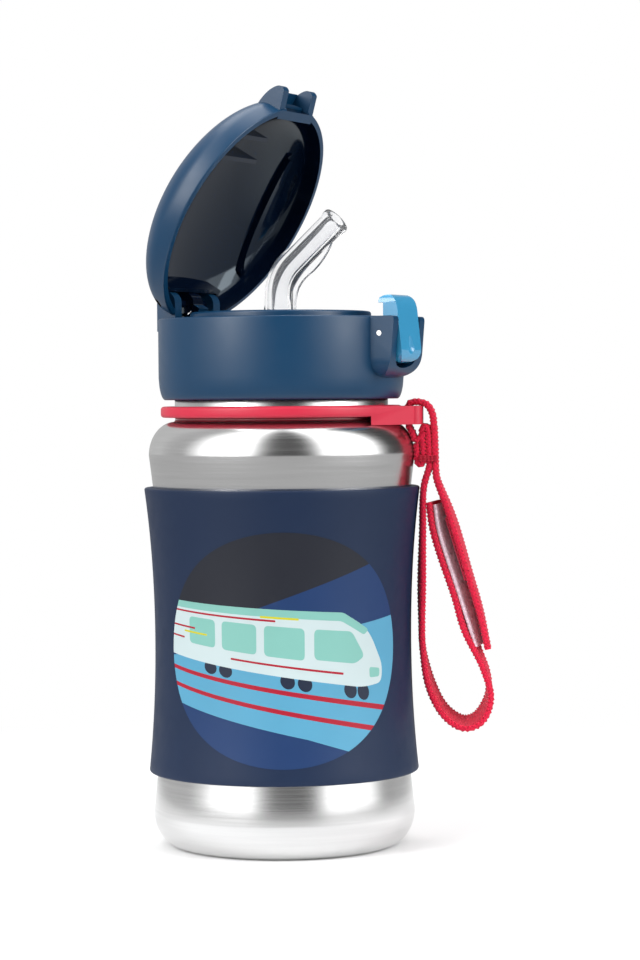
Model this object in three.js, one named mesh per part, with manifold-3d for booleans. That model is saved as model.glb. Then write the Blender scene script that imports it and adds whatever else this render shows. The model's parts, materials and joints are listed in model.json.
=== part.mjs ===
// Toddler's straw cup: steel bottle, silicone sleeve, screw cap with a flip lid that a sprung latch
// holds shut, folding silicone spout, and a wrist strap on a ring round the neck.
// Millimetres, +Z up. The cup stands on z = 0 with its axis on Z. The latch is toward +X, the hinge
// toward -X. The lid is modelled standing open, as it does when the cup is in use.
import * as THREE from 'three';
import { mergeVertices } from 'three/addons/utils/BufferGeometryUtils.js';
import Module from 'manifold-3d';

const wasm = await Module();
wasm.setup();

// ---------------------------------------------------------------- driving dimensions
const GAP = 0.3;                    // between pieces that touch
const TURN = 56;                    // facets round the bottle and sleeve
const FINE_TURN = 72;               // facets round the cap and lid

const bottle = {
  wall: 0.8, footRadius: 28.2, footRise: 9.5, heelRadius: 35.1, neckRadius: 28.6, mouthZ: 129.5,
  waist: 32.4, flare: 2.7, waistZ: 55, flareSpan: 45,
  shoulderRadius: 35.7, shoulderZ: 104.8, shoulderRise: 9,
};
const sleeve = { bottomZ: 20, topZ: 96.2, thickness: 1.75, lipFlare: 0.35 };
const thread = { pitch: 4, height: 1.3, width: 1.1, bottleStartZ: 122, stepsPerTurn: 28 };
const cap = {
  radius: 32.9, bore: 30.9, bottomZ: 119.6, topZ: 141.3, deckZ: 139.3, deckUnder: 137.7,
  wellRadius: 22.5, collarRadius: 24.3, collarZ: 143, wellFloorZ: 133.9, wellUnder: 132.1,
  socketBore: 3.7, socketRadius: 5.2, socketZ: 123,
};
const hinge = {
  x: -28.9, z: 145.8, pinRadius: 0.9, pinHalf: 12, bossHalf: 8.2,
  lugIn: 8.6, lugOut: 12.2, lugRadius: 3.2,
};
const lid = {
  radius: 33, wall: 1.6, rimZ: 141.6, skirt: 3.6, crown: 16.6, ribHeight: 2,
  openAngle: THREE.MathUtils.degToRad(59.3),
};
const latch = { x: 34, z: 136.7, halfWidth: 6, pinRadius: 0.7, tipX: 32.2 };
const housing = { earIn: 6.4, earOut: 9.35, outX: 38.3, topZ: 141.2, bottomZ: 124.9, backX: 32.4 };
const spout = {
  elbowZ: 152.5, lean: THREE.MathUtils.degToRad(49.4), tipLength: 22.3, radius: 3.5, bore: 1.9,
  baseRadius: 5, flangeRadius: 8.2, flangeZ: 135.8, shankTop: 147.3,
};
const straw = { radius: 3.3, bore: 2.4, bottomZ: 6, topZ: 126.7 };
const ring = {
  inner: 29.3, outer: 32.4, bottomZ: 114.9, topZ: 117.9, azimuth: THREE.MathUtils.degToRad(24),
  tabReach: 38, tabHalf: 8.2, tabBottomZ: 112.7, tabTopZ: 117.6,
  slotIn: 32.9, slotOut: 35.6, slotHalf: 5.6,
};
const webbing = { width: 10, thickness: 1.7, patch: 0.6, patchWidth: 8 };

// ---------------------------------------------------------------- materials
function plastic(color, roughness = 0.45) {
  return new THREE.MeshStandardMaterial({ color, roughness, metalness: 0 });
}

function metal(color, roughness) {
  return new THREE.MeshStandardMaterial({ color, roughness, metalness: 1 });
}

const steel = metal(0xb9bcbf, 0.32);
const pinSteel = metal(0xd4d6d8, 0.25);
const navySilicone = plastic(0x283a57, 0.6);
const navyPlastic = plastic(0x2b4c68, 0.45);
const blueLatch = plastic(0x5fa9cf, 0.25);
const clearSilicone = plastic(0xe6e9ec, 0.2);
const clearPlastic = plastic(0xdfe6ea, 0.15);
const whiteSilicone = plastic(0xeeeeea, 0.6);
const redSilicone = plastic(0xe2445f, 0.55);
const redWebbing = plastic(0xd81f4a, 0.9);
const hookTape = plastic(0xe2cbd6, 0.9);
const loopTape = plastic(0xc41a40, 0.95);

// ---------------------------------------------------------------- solid helpers
// A manifold from any closed three.js geometry, with its faces turned outward.
function solid(geometry) {
  const bare = geometry.index ? geometry.toNonIndexed() : geometry.clone();
  bare.deleteAttribute('normal');
  bare.deleteAttribute('uv');
  const merged = mergeVertices(bare, 1e-4);
  const corners = merged.index.array;
  const triangles = [];
  for (let i = 0; i < corners.length; i += 3) {
    const [a, b, c] = [corners[i], corners[i + 1], corners[i + 2]];
    if (a !== b && b !== c && a !== c) triangles.push(a, b, c);
  }
  const positions = merged.attributes.position;
  const [p, q, r] = [new THREE.Vector3(), new THREE.Vector3(), new THREE.Vector3()];
  let volume = 0;
  for (let i = 0; i < triangles.length; i += 3) {
    p.fromBufferAttribute(positions, triangles[i]);
    q.fromBufferAttribute(positions, triangles[i + 1]);
    r.fromBufferAttribute(positions, triangles[i + 2]);
    volume += p.dot(q.cross(r));
  }
  if (volume < 0) triangles.reverse();
  return new wasm.Manifold(new wasm.Mesh({
    numProp: 3,
    vertProperties: new Float32Array(positions.array),
    triVerts: new Uint32Array(triangles),
  }));
}

function join(pieces) {
  return pieces.reduce((whole, piece) => whole.add(piece));
}

function box(x0, x1, y0, y1, z0, z1) {
  const geometry = new THREE.BoxGeometry(x1 - x0, y1 - y0, z1 - z0);
  return solid(geometry.translate((x0 + x1) / 2, (y0 + y1) / 2, (z0 + z1) / 2));
}

// A turned solid from a closed outline of [radius, z] points.
function turned(outline, facets = TURN) {
  const points = [...outline, outline[0]].map(([r, z]) => new THREE.Vector2(r, z));
  return solid(new THREE.LatheGeometry(points, facets).rotateX(Math.PI / 2));
}

function rod(radius, z0, z1, facets = 32) {
  return turned([[0, z0], [radius, z0], [radius, z1], [0, z1]], facets);
}

// A rod along Y through (x, z).
function crossRod(x, z, radius, y0, y1, facets = 32) {
  const geometry = new THREE.CylinderGeometry(radius, radius, y1 - y0, facets);
  return solid(geometry.translate(x, (y0 + y1) / 2, z));
}

// A plate with an outline of [x, z] points, extruded along Y from y0 to y1.
function plate(outline, y0, y1) {
  const shape = new THREE.Shape(outline.map(([x, z]) => new THREE.Vector2(x, z)));
  return plateOf(shape, y0, y1);
}

function plateOf(shape, y0, y1, curveSegments = 10) {
  return solid(extruded(shape, y1 - y0, curveSegments).rotateX(Math.PI / 2).translate(0, y1, 0));
}

function extruded(shape, depth, curveSegments) {
  return new THREE.ExtrudeGeometry(shape, { depth, bevelEnabled: false, curveSegments });
}

// A bar with a THREE.Shape of [y, z] points, extruded along X.
function bar(shape, x0, x1, curveSegments = 4) {
  const geometry = extruded(shape, x1 - x0, curveSegments);
  return solid(geometry.rotateX(Math.PI / 2).rotateZ(Math.PI / 2).translate(x0, 0, 0));
}

// A slab with a THREE.Shape in XY, from z0 to z1.
function slab(shape, z0, z1, curveSegments = 10) {
  return solid(extruded(shape, z1 - z0, curveSegments).translate(0, 0, z0));
}

function steps(from, to, count) {
  return Array.from({ length: count + 1 }, (_, i) => from + (to - from) * i / count);
}

// Points on a quarter ellipse round (centreR, centreZ), from one angle to another.
function arc(centreR, centreZ, halfR, halfZ, from, to, count) {
  return steps(from, to, count).map((t) => [
    centreR + halfR * Math.cos(t), centreZ + halfZ * Math.sin(t)]);
}

// A four-sided ridge wound round Z, rooted inside the wall that carries it, tapering to nothing at
// both ends. Its rows of four corners are joined into one closed skin.
function helixRidge(rootRadius, crestRadius, startZ, fromTurn, toTurn) {
  const count = Math.round((toTurn - fromTurn) * thread.stepsPerTurn);
  const corners = [];
  const faces = [];
  steps(fromTurn, toTurn, count).forEach((turn, i) => {
    const lead = Math.min(1, Math.min(i, count - i) / 5 + 0.15);
    const crest = rootRadius + (crestRadius - rootRadius) * lead;
    const middle = startZ + thread.pitch * turn;
    const section = [[rootRadius, 0.9], [crest, 0.45], [crest, -0.45], [rootRadius, -0.9]];
    for (const [radius, rise] of section) {
      const angle = turn * 2 * Math.PI;
      corners.push(radius * Math.cos(angle), radius * Math.sin(angle), middle + rise * thread.width);
    }
    if (i === 0) return;
    const [here, before] = [4 * i, 4 * (i - 1)];
    for (let k = 0; k < 4; k += 1) {
      const next = (k + 1) % 4;
      faces.push(before + k, here + k, here + next, before + k, here + next, before + next);
    }
  });
  const last = 4 * count;
  faces.push(0, 1, 2, 0, 2, 3, last, last + 2, last + 1, last, last + 3, last + 2);
  const geometry = new THREE.BufferGeometry();
  geometry.setAttribute('position', new THREE.Float32BufferAttribute(corners, 3));
  geometry.setIndex(faces);
  return solid(geometry);
}

// A closed spring: round wire swept along a list of points.
function wire(points, radius, count) {
  const path = new THREE.CatmullRomCurve3(points);
  const section = new THREE.Shape().absarc(0, 0, radius, 0, 2 * Math.PI);
  const options = { steps: count, bevelEnabled: false, extrudePath: path, curveSegments: 3 };
  return solid(new THREE.ExtrudeGeometry(section, options));
}

// Turns of a coil round the Y line through (x, z), from y0 to y1.
function coilPoints(x, z, radius, y0, y1, turns, startAngle) {
  return steps(0, turns, Math.round(turns * 8)).map((turn) => {
    const angle = startAngle + turn * 2 * Math.PI;
    const y = y0 + (y1 - y0) * turn / turns;
    return new THREE.Vector3(x + radius * Math.cos(angle), y, z + radius * Math.sin(angle));
  });
}

// ---------------------------------------------------------------- bottle
function bodyRadius(z) {
  return bottle.waist + bottle.flare * ((z - bottle.waistZ) / bottle.flareSpan) ** 2;
}

function bottleOutline(inset) {
  const { footRadius, footRise, heelRadius, neckRadius, shoulderRadius, shoulderRise } = bottle;
  const heelReach = heelRadius - footRadius - inset;
  const heel = arc(footRadius, footRise, heelReach, footRise - inset, -Math.PI / 2, 0, 6);
  const side = steps(18, 98, 6).map((z) => [bodyRadius(z) - inset, z]);
  const shoulderReach = shoulderRadius - neckRadius - inset;
  const shoulder = arc(neckRadius, bottle.shoulderZ, shoulderReach, shoulderRise - inset,
    0, Math.PI / 2, 7);
  return [...heel, ...side, ...shoulder.slice(0, -1)];
}

function bottleShell() {
  const neck = bottle.neckRadius;
  const neckIn = neck - bottle.wall;
  const rise = bottle.shoulderZ + bottle.shoulderRise;
  const outside = [[0, 0], ...bottleOutline(0), [neck + 0.5, rise - 0.1], [neck, rise + 0.6]];
  const lip = [[neck, bottle.mouthZ - 0.3], [neck - 0.3, bottle.mouthZ], [neckIn + 0.3, bottle.mouthZ],
    [neckIn, bottle.mouthZ - 0.3]];
  const inside = [[0, bottle.wall], ...bottleOutline(bottle.wall), [neckIn, rise]];
  const shell = turned([...outside, ...lip, ...inside.reverse()]);
  const ridge = helixRidge(neck - 0.4, neck + thread.height, thread.bottleStartZ, 0, 1.3);
  return shell.add(ridge);
}

// The sleeve grips the waist: its outside flares a little more than the steel at both ends.
function sleeveBody() {
  const inner = steps(sleeve.bottomZ, sleeve.topZ, 8).map((z) => [bodyRadius(z) + GAP, z]);
  const outer = inner.map(([r, z]) => {
    const end = Math.abs(z - bottle.waistZ) / (sleeve.topZ - bottle.waistZ);
    return [r + sleeve.thickness + sleeve.lipFlare * end ** 3, z];
  });
  const bevel = 0.4;
  const [firstR] = outer[0];
  const [lastR] = outer[outer.length - 1];
  outer[0] = [firstR, sleeve.bottomZ + bevel];
  outer[outer.length - 1] = [lastR, sleeve.topZ - bevel];
  const bottom = [firstR - bevel, sleeve.bottomZ];
  const top = [lastR - bevel, sleeve.topZ];
  return turned([bottom, ...outer, top, ...inner.reverse()]);
}

// ---------------------------------------------------------------- strap ring
// The tab narrows along two straight flanks that leave the ring as tangents.
function tabShape(reach, half, ringRadius) {
  const shape = new THREE.Shape();
  const corner = 2.2;
  const flank = THREE.MathUtils.degToRad(39);
  shape.moveTo(ringRadius * Math.cos(flank), -ringRadius * Math.sin(flank));
  shape.lineTo(reach - corner, -half);
  shape.quadraticCurveTo(reach, -half + 0.4, reach, -half + corner + 0.6);
  shape.lineTo(reach, half - corner - 0.6);
  shape.quadraticCurveTo(reach, half - 0.4, reach - corner, half);
  shape.lineTo(ringRadius * Math.cos(flank), ringRadius * Math.sin(flank));
  return shape;
}

function strapRing() {
  const { inner, outer, bottomZ, topZ, tabBottomZ, tabTopZ, slotHalf } = ring;
  const band = turned([[inner, bottomZ + 0.5], [inner + 0.5, bottomZ], [outer - 0.9, bottomZ],
    [outer, bottomZ + 0.9], [outer, topZ - 0.9], [outer - 0.9, topZ], [inner + 0.5, topZ],
    [inner, topZ - 0.5]]);
  const tab = slab(tabShape(ring.tabReach, ring.tabHalf, outer - 0.2), tabBottomZ, tabTopZ, 5);
  const slot = box(ring.slotIn, ring.slotOut, -slotHalf, slotHalf, tabBottomZ - 1, tabTopZ + 1);
  const clearance = rod(outer - 0.4, tabBottomZ - 1, bottomZ, TURN);
  const neckHole = rod(inner + 0.2, bottomZ - 1, topZ + 1, TURN);
  const nose = tab.subtract(clearance).subtract(neckHole);
  return band.add(nose).subtract(slot).rotate([0, 0, THREE.MathUtils.radToDeg(ring.azimuth)]);
}

// ---------------------------------------------------------------- cap
function capShell() {
  const c = cap;
  const body = turned([
    [c.socketBore, c.socketZ], [c.socketRadius, c.socketZ], [c.socketRadius, c.wellUnder],
    [c.collarRadius, c.wellUnder], [c.collarRadius, c.deckUnder], [26.5, c.deckUnder], [26.5, 132.3],
    [29, 132.3], [29, c.deckUnder], [c.bore, c.deckUnder], [c.bore, c.bottomZ + 0.4],
    [c.bore + 0.4, c.bottomZ], [31.2, c.bottomZ], [31.8, c.bottomZ + 0.5], [32.4, c.bottomZ + 2],
    [32.8, c.bottomZ + 4], [c.radius, c.bottomZ + 5.6], [c.radius, c.topZ - 0.5],
    [c.radius - 0.15, c.topZ - 0.15], [c.radius - 0.5, c.topZ],
    [31.2, c.topZ], [31.2, c.deckZ], [c.collarRadius, c.deckZ], [c.collarRadius, c.collarZ - 0.6],
    [c.collarRadius - 0.3, c.collarZ - 0.1], [c.collarRadius - 0.7, c.collarZ],
    [c.wellRadius + 0.4, c.collarZ], [c.wellRadius, c.collarZ - 0.4], [c.wellRadius, c.wellFloorZ],
    [c.socketBore, c.wellFloorZ],
  ], FINE_TURN);
  const ridgeStart = thread.bottleStartZ - thread.pitch / 2;
  const ridge = helixRidge(c.bore + 0.4, c.bore - thread.height + 0.1, ridgeStart, 0.4, 1.5);
  const notch = box(-40, -26, -13.2, 13.2, c.deckZ, c.topZ + 1);
  const ventHole = rod(1.2, c.wellUnder - 1, c.wellFloorZ + 1, 16).translate([0, -13, 0]);
  return body.add(ridge).add(latchEars()).subtract(latchPocket()).subtract(notch).subtract(ventHole)
    .add(hingeLugs());
}

// A shape in [y, z] with square or rounded shoulders at the top and round corners at the bottom.
function frontShape(half, bottomZ, cornerRise, topZ, topRise) {
  const shape = new THREE.Shape();
  shape.moveTo(-half, topZ - topRise);
  shape.lineTo(-half, bottomZ + cornerRise);
  shape.quadraticCurveTo(-half, bottomZ + 1, -half / 2, bottomZ + 0.4);
  shape.quadraticCurveTo(0, bottomZ - 0.4, half / 2, bottomZ + 0.4);
  shape.quadraticCurveTo(half, bottomZ + 1, half, bottomZ + cornerRise);
  shape.lineTo(half, topZ - topRise);
  if (topRise > 0) {
    shape.quadraticCurveTo(half, topZ, half - topRise, topZ);
    shape.lineTo(topRise - half, topZ);
    shape.quadraticCurveTo(-half, topZ, -half, topZ - topRise);
  }
  return shape;
}

// Two ears that carry the latch pin, joined under the latch by a rounded chin.
function latchEars() {
  const h = housing;
  const ear = new THREE.Shape();
  ear.moveTo(29, h.topZ);
  ear.lineTo(h.outX - 0.8, h.topZ);
  ear.quadraticCurveTo(h.outX, h.topZ, h.outX, h.topZ - 1.2);
  ear.lineTo(h.outX - 0.7, h.bottomZ + 7);
  ear.quadraticCurveTo(h.outX - 1.2, h.bottomZ + 1.2, 32.2, h.bottomZ);
  ear.lineTo(29, h.bottomZ);
  const front = bar(frontShape(h.earOut, h.bottomZ, 5.6, h.topZ + 1, 0), 20, 50);
  const block = plateOf(ear, -h.earOut, h.earOut, 6).intersect(front);
  const insideOfCap = rod(cap.radius - 0.6, h.bottomZ - 1, cap.topZ + 1, FINE_TURN);
  const pin = crossRod(latch.x, latch.z, latch.pinRadius + GAP, -h.earOut - 1, h.earOut + 1, 20);
  return block.subtract(insideOfCap).subtract(pin);
}

// The room between the ears where the latch rocks.
function latchPocket() {
  const h = housing;
  const front = bar(frontShape(h.earIn, 127.6, 4.4, h.topZ + 1, 0), 20, 50);
  return plate([[h.backX, h.topZ + 1], [h.backX, 128.2], [34, 127.2], [41, 127.2],
    [41, h.topZ + 1]], -h.earIn, h.earIn).intersect(front);
}

// The lugs rise from the deck beside the lid's hinge boss and hold the pin's ends.
function hingeLugs() {
  const { x, z, lugRadius, lugIn, lugOut } = hinge;
  const lug = new THREE.Shape();
  lug.moveTo(x - lugRadius, cap.deckUnder + 0.4);
  lug.lineTo(x + lugRadius, cap.deckUnder + 0.4);
  lug.lineTo(x + lugRadius, z);
  lug.absarc(x, z, lugRadius, 0, Math.PI, false);
  const near = plateOf(lug, -lugOut, -lugIn, 12);
  const far = plateOf(lug, lugIn, lugOut, 12);
  const bore = crossRod(x, z, hinge.pinRadius + GAP, -20, 20, 20);
  const reach = rod(cap.radius + 0.7, 130, 155, FINE_TURN);
  return near.add(far).subtract(bore).intersect(reach);
}

function capGasket() {
  return turned([[26.4, 130.2], [27, 129.8], [29, 129.8], [29.4, 130.2], [29.4, 131.6], [29, 132],
    [26.8, 132], [26.4, 131.6]]);
}

function ventValve() {
  const stem = rod(0.85, cap.wellUnder - 1.5, cap.wellFloorZ + 0.6, 16);
  const dome = turned([[0, cap.wellFloorZ + GAP], [2.6, cap.wellFloorZ + GAP], [2.4, cap.wellFloorZ + 0.9],
    [1.4, cap.wellFloorZ + 1.5], [0, cap.wellFloorZ + 1.7]], 20);
  return stem.add(dome).translate([0, -13, 0]);
}

// ---------------------------------------------------------------- lid (drawn shut, then swung open)
function domeOutline(radius, skirt, crown, count) {
  return steps(0, Math.PI / 2, count).map((t) => [
    radius * Math.cos(t), lid.rimZ + skirt + (crown - skirt) * Math.sin(t)]);
}

function domeSolid(inset) {
  const outline = domeOutline(lid.radius - inset, lid.skirt, lid.crown - inset, 9);
  outline[outline.length - 1][0] = 0;
  return turned([[0, lid.rimZ], [lid.radius - inset, lid.rimZ], ...outline], FINE_TURN);
}

function lidShell() {
  const outside = domeSolid(0);
  const inside = domeSolid(lid.wall);
  const additions = join([hingeBlock(), longRib(), ...sideFins(), catchWall()]).intersect(outside);
  const shell = outside.subtract(inside).add(additions);
  const { x, z, bossHalf, lugOut, pinRadius, lugRadius } = hinge;
  const lugRoom = crossRod(x, z, lugRadius + 0.5, -lugOut - 0.4, lugOut + 0.4, 32)
    .add(box(-40, x + lugRadius + 0.5, -lugOut - 0.4, lugOut + 0.4, lid.rimZ - 1, z));
  const boss = crossRod(x, z, 2.6, -bossHalf, bossHalf, 28)
    .add(plate([[x - 2.6, z], [x + 2.6, z], [x + 4, z + 6], [x - 0.4, z + 6]], -bossHalf, bossHalf));
  const springRoom = crossRod(x, z, 3.4, -2.6, 2.6, 28)
    .add(box(x - 6, x + 1.5, -2.6, 2.6, lid.rimZ - 1, z + 3.4));
  const bore = crossRod(x, z, pinRadius + GAP, -20, 20, 20);
  const catchRoom = box(31, 40, -housing.earIn, housing.earIn, 144.2, 152)
    .add(box(31.9, 40, -housing.earIn, housing.earIn, lid.rimZ - 1, 144.2));
  return shell.subtract(lugRoom).add(boss).subtract(springRoom).subtract(bore).subtract(catchRoom)
    .add(catchHorns());
}

// The block under the dome that hides the lugs and meets the boss.
function hingeBlock() {
  const half = hinge.lugOut + 1.6;
  return box(-33, hinge.x + 4.8, -half, half, hinge.z - 0.2, 159);
}

// A long low rib, bowed a little outward, follows the dome along its far side.
function longRib() {
  const bow = 67.7;
  const ring = turned([[bow - 0.5, 146], [bow + 0.6, 146], [bow + 0.6, 159], [bow - 0.5, 159]], 120);
  return ring.translate([-2.2, 25.3 - bow, 0]).intersect(box(-19, 15.5, 20, 30, 146, 159))
    .subtract(domeSolid(lid.wall + lid.ribHeight));
}

// Two fins hang from the dome between the near wall and the folded spout.
function sideFins() {
  return [15, 21.5].map((x) => box(x, x + 1.2, -33, -4.6, 143.8, 158));
}

// The wall behind the latch's hook closes the dome where the catch room is cut.
function catchWall() {
  return box(29.4, 31.9, -housing.earOut, housing.earOut, 141.6, 152);
}

// Two horns flank the latch's hook, and a thin roof over the hook joins them.
function catchHorns() {
  const { earIn, earOut } = housing;
  const { rimZ } = lid;
  const horn = new THREE.Shape();
  horn.moveTo(30.6, rimZ + 0.2);
  horn.lineTo(36.8, rimZ + 1.9);
  horn.quadraticCurveTo(38.2, rimZ + 3.4, 36.2, rimZ + 5);
  horn.quadraticCurveTo(34, rimZ + 6.8, 29.6, rimZ + 7.3);
  const near = plateOf(horn, -earOut, -earIn - 0.1, 5);
  const far = plateOf(horn, earIn + 0.1, earOut, 5);
  const roof = plate([[30.2, rimZ + 6], [34.7, rimZ + 6], [34.9, rimZ + 6.2], [33, rimZ + 6.9],
    [30.2, rimZ + 7.2]], -earIn - 0.5, earIn + 0.5);
  return near.add(far).add(roof);
}

// Swings a piece of the lid from shut to standing open about the hinge pin.
function swungOpen(piece) {
  const angle = -THREE.MathUtils.radToDeg(lid.openAngle);
  return piece.translate([-hinge.x, 0, -hinge.z]).rotate([0, angle, 0])
    .translate([hinge.x, 0, hinge.z]);
}

function hingePin() {
  return crossRod(hinge.x, hinge.z, hinge.pinRadius, -hinge.pinHalf, hinge.pinHalf, 16);
}

function lidSpring() {
  const coil = coilPoints(hinge.x, hinge.z, 1.65, -2, 2, 4, -Math.PI / 2);
  const end = coil[coil.length - 1];
  const deckLeg = new THREE.Vector3(hinge.x - 2.2, -2, hinge.z - 2.2);
  const lidLeg = new THREE.Vector3(hinge.x + 2.6, 2, end.z + 0.1);
  return wire([deckLeg, ...coil, lidLeg], 0.35, 64);
}

// ---------------------------------------------------------------- latch
// Pivots on its pin: pressing the lower lip swings the hook on top away from the lid.
function latchBody() {
  const half = latch.halfWidth;
  const side = new THREE.Shape();
  side.moveTo(latch.tipX, 144.7);
  side.lineTo(latch.tipX + 0.2, 146);
  side.quadraticCurveTo(33.8, 147, 35.4, 146.8);
  side.quadraticCurveTo(37.6, 146, 37.9, 142);
  side.lineTo(38.9, 132.4);
  side.quadraticCurveTo(38.9, 129.4, 36.4, 128.9);
  side.lineTo(35.8, 129.6);
  side.lineTo(35.4, 132);
  side.lineTo(33.4, 135);
  side.lineTo(32.9, 137.2);
  side.lineTo(33.6, 139);
  side.lineTo(33.6, 144.7);
  const bore = crossRod(latch.x, latch.z, latch.pinRadius + GAP, -10, 10, 20);
  const springRoom = box(30, 36.1, -2.4, 2.4, 134.4, 139);
  const grip = crossRod(40.6, 133.6, 2.4, -1.6, 1.6, 20);
  const front = bar(frontShape(half, 128.9, 4.2, 147.2, 2.6), 20, 50);
  return plateOf(side, -half, half, 6).intersect(front).subtract(bore).subtract(springRoom)
    .subtract(grip);
}

function latchPin() {
  return crossRod(latch.x, latch.z, latch.pinRadius, -housing.earOut + 0.05, housing.earOut - 0.05, 16);
}

function latchSpring() {
  const coil = coilPoints(latch.x, latch.z, 1.25, -1.7, 1.7, 4, Math.PI);
  const wallLeg = new THREE.Vector3(latch.x - 1.2, -1.7, latch.z - 1.8);
  const latchLeg = new THREE.Vector3(latch.x - 1.0, 1.7, latch.z + 1.9);
  return wire([wallLeg, ...coil, latchLeg], 0.22, 56);
}

// ---------------------------------------------------------------- spout and straw
function spoutBase() {
  const s = spout;
  return turned([
    [s.bore, straw.topZ + GAP], [straw.radius, straw.topZ + GAP],
    [straw.radius, cap.wellFloorZ + GAP], [s.flangeRadius, cap.wellFloorZ + GAP],
    [s.flangeRadius, s.flangeZ - 0.5], [s.flangeRadius - 0.5, s.flangeZ],
    [s.baseRadius + 0.6, s.flangeZ], [s.baseRadius, s.flangeZ + 0.8], [s.radius + 0.5, 141],
    [s.radius, s.shankTop], [s.bore, s.shankTop],
  ], 32);
}

// The drinking end folds at the elbow, so its root is a ball round the elbow's centre.
function spoutTip() {
  const s = spout;
  const ball = solid(new THREE.SphereGeometry(s.radius, 28, 16));
  const lip = s.tipLength;
  const tube = turned([[0, 0], [s.radius, 0], [s.radius, lip - 2], [s.radius + 0.35, lip - 1.4],
    [s.radius + 0.35, lip - 0.5], [s.radius - 0.1, lip], [0, lip]], 32);
  const bore = rod(s.bore, 0, lip + 1, 24);
  const throat = rod(s.bore, -5, 0, 24);
  const lean = THREE.MathUtils.radToDeg(s.lean);
  return ball.add(tube.rotate([0, lean, 0])).subtract(bore.rotate([0, lean, 0])).subtract(throat)
    .translate([0, 0, s.elbowZ]);
}

function strawTube() {
  const { radius, bore, bottomZ, topZ } = straw;
  const tube = turned([[bore, bottomZ], [radius, bottomZ], [radius, topZ], [bore, topZ]], 24);
  const foot = box(-5, 5, -0.9, 0.9, bottomZ - 1, bottomZ + 2);
  return tube.subtract(foot);
}

// ---------------------------------------------------------------- wrist strap
// Routes are [s, z] points in the upright plane through Z at the ring's azimuth; s is the distance
// out from the axis.
const loopRoute = [[38.6, 110.6], [36.2, 108.4], [35.2, 110.4], [34.2, 112.8], [34.2, 117.4],
  [35, 118.9], [37.2, 119.1], [39.4, 118.2], [40.7, 115.6], [41, 111.4]];
const webbingRoute = [[39.6, 101], [38, 95], [37.7, 84], [37.4, 72], [37.3, 60], [37.6, 52],
  [39.5, 43], [43, 36], [48, 32.4], [52.6, 33.8], [54.9, 39.6], [53.8, 47], [49, 60.6],
  [44.2, 75], [40.4, 88]];
const tailRoute = [[42.1, 101], [43.8, 94], [46.6, 85], [50.6, 71.4], [54, 60], [56.4, 51]];
const hookRoute = [[52.3, 52], [48.2, 63.2], [44.4, 74.6], [41.4, 84.6]];
const loopPatchRoute = [[45.6, 88], [48.2, 79.5], [50.6, 71.4]];

function ribbonShape(route, thickness, offset = 0) {
  const curve = new THREE.SplineCurve(route.map(([s, z]) => new THREE.Vector2(s, z)));
  const count = Math.max(8, Math.round(curve.getLength() / 4));
  const sides = [offset + thickness / 2, offset - thickness / 2].map((reach) => (
    steps(0, 1, count).map((t) => {
      const along = curve.getTangentAt(t);
      return curve.getPointAt(t).add(new THREE.Vector2(-along.y, along.x).multiplyScalar(reach));
    })));
  return new THREE.Shape([...sides[0], ...sides[1].reverse()]);
}

function inStrapPlane(piece) {
  return piece.rotate([0, 0, THREE.MathUtils.radToDeg(ring.azimuth)]);
}

function ribbon(route, thickness = webbing.thickness, width = webbing.width, offset = 0) {
  return inStrapPlane(plateOf(ribbonShape(route, thickness, offset), -width / 2, width / 2));
}

// Fastening tape sewn to the face of a strand that looks toward the other strand.
function patch(route) {
  const offset = -(webbing.thickness / 2 + GAP + webbing.patch / 2);
  return ribbon(route, webbing.patch, webbing.patchWidth, offset);
}

// The folded keeper that gathers the strands just under the tab.
function strapKeeper() {
  const fold = new THREE.Shape();
  fold.moveTo(36.6, 102.2);
  fold.quadraticCurveTo(35.8, 106, 37.6, 107.6);
  fold.lineTo(40.9, 109.8);
  fold.quadraticCurveTo(42.8, 107, 42.2, 102.2);
  return inStrapPlane(plateOf(fold, -webbing.width / 2, webbing.width / 2, 6));
}

function strapStitching() {
  const side = -webbing.width / 2;
  return inStrapPlane(box(36.9, 41.9, side - 0.9, side - GAP, 103, 104.2));
}

// ---------------------------------------------------------------- assembly
function meshOf(name, piece, material) {
  const { numProp, vertProperties, triVerts } = piece.getMesh();
  const positions = [];
  for (let i = 0; i < vertProperties.length; i += numProp) {
    positions.push(vertProperties[i], vertProperties[i + 1], vertProperties[i + 2]);
  }
  const geometry = new THREE.BufferGeometry();
  geometry.setAttribute('position', new THREE.Float32BufferAttribute(positions, 3));
  geometry.setIndex(new THREE.BufferAttribute(new Uint32Array(triVerts), 1));
  geometry.computeVertexNormals();
  const mesh = new THREE.Mesh(geometry, material);
  mesh.name = name;
  return mesh;
}

const group = new THREE.Group();
group.add(
  meshOf('bottle_shell', bottleShell(), steel),
  meshOf('sleeve', sleeveBody(), navySilicone),
  meshOf('strap_ring', strapRing(), redSilicone),
  meshOf('cap_gasket', capGasket(), whiteSilicone),
  meshOf('cap_shell', capShell(), navyPlastic),
  meshOf('vent_valve', ventValve(), whiteSilicone),
  meshOf('hinge_pin', hingePin(), pinSteel),
  meshOf('lid_spring', lidSpring(), pinSteel),
  meshOf('lid_shell', swungOpen(lidShell()), navyPlastic),
  meshOf('latch', latchBody(), blueLatch),
  meshOf('latch_pin', latchPin(), pinSteel),
  meshOf('latch_spring', latchSpring(), pinSteel),
  meshOf('spout_base', spoutBase(), clearSilicone),
  meshOf('spout_tip', spoutTip(), clearSilicone),
  meshOf('straw_tube', strawTube(), clearPlastic),
  meshOf('strap_loop', ribbon(loopRoute), redWebbing),
  meshOf('strap_keeper', strapKeeper(), redWebbing),
  meshOf('strap_stitching', strapStitching(), redWebbing),
  meshOf('strap_webbing', ribbon(webbingRoute), redWebbing),
  meshOf('strap_tail', ribbon(tailRoute), redWebbing),
  meshOf('hook_patch', patch(hookRoute), hookTape),
  meshOf('loop_patch', patch(loopPatchRoute), loopTape),
);

export default group;
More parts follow.
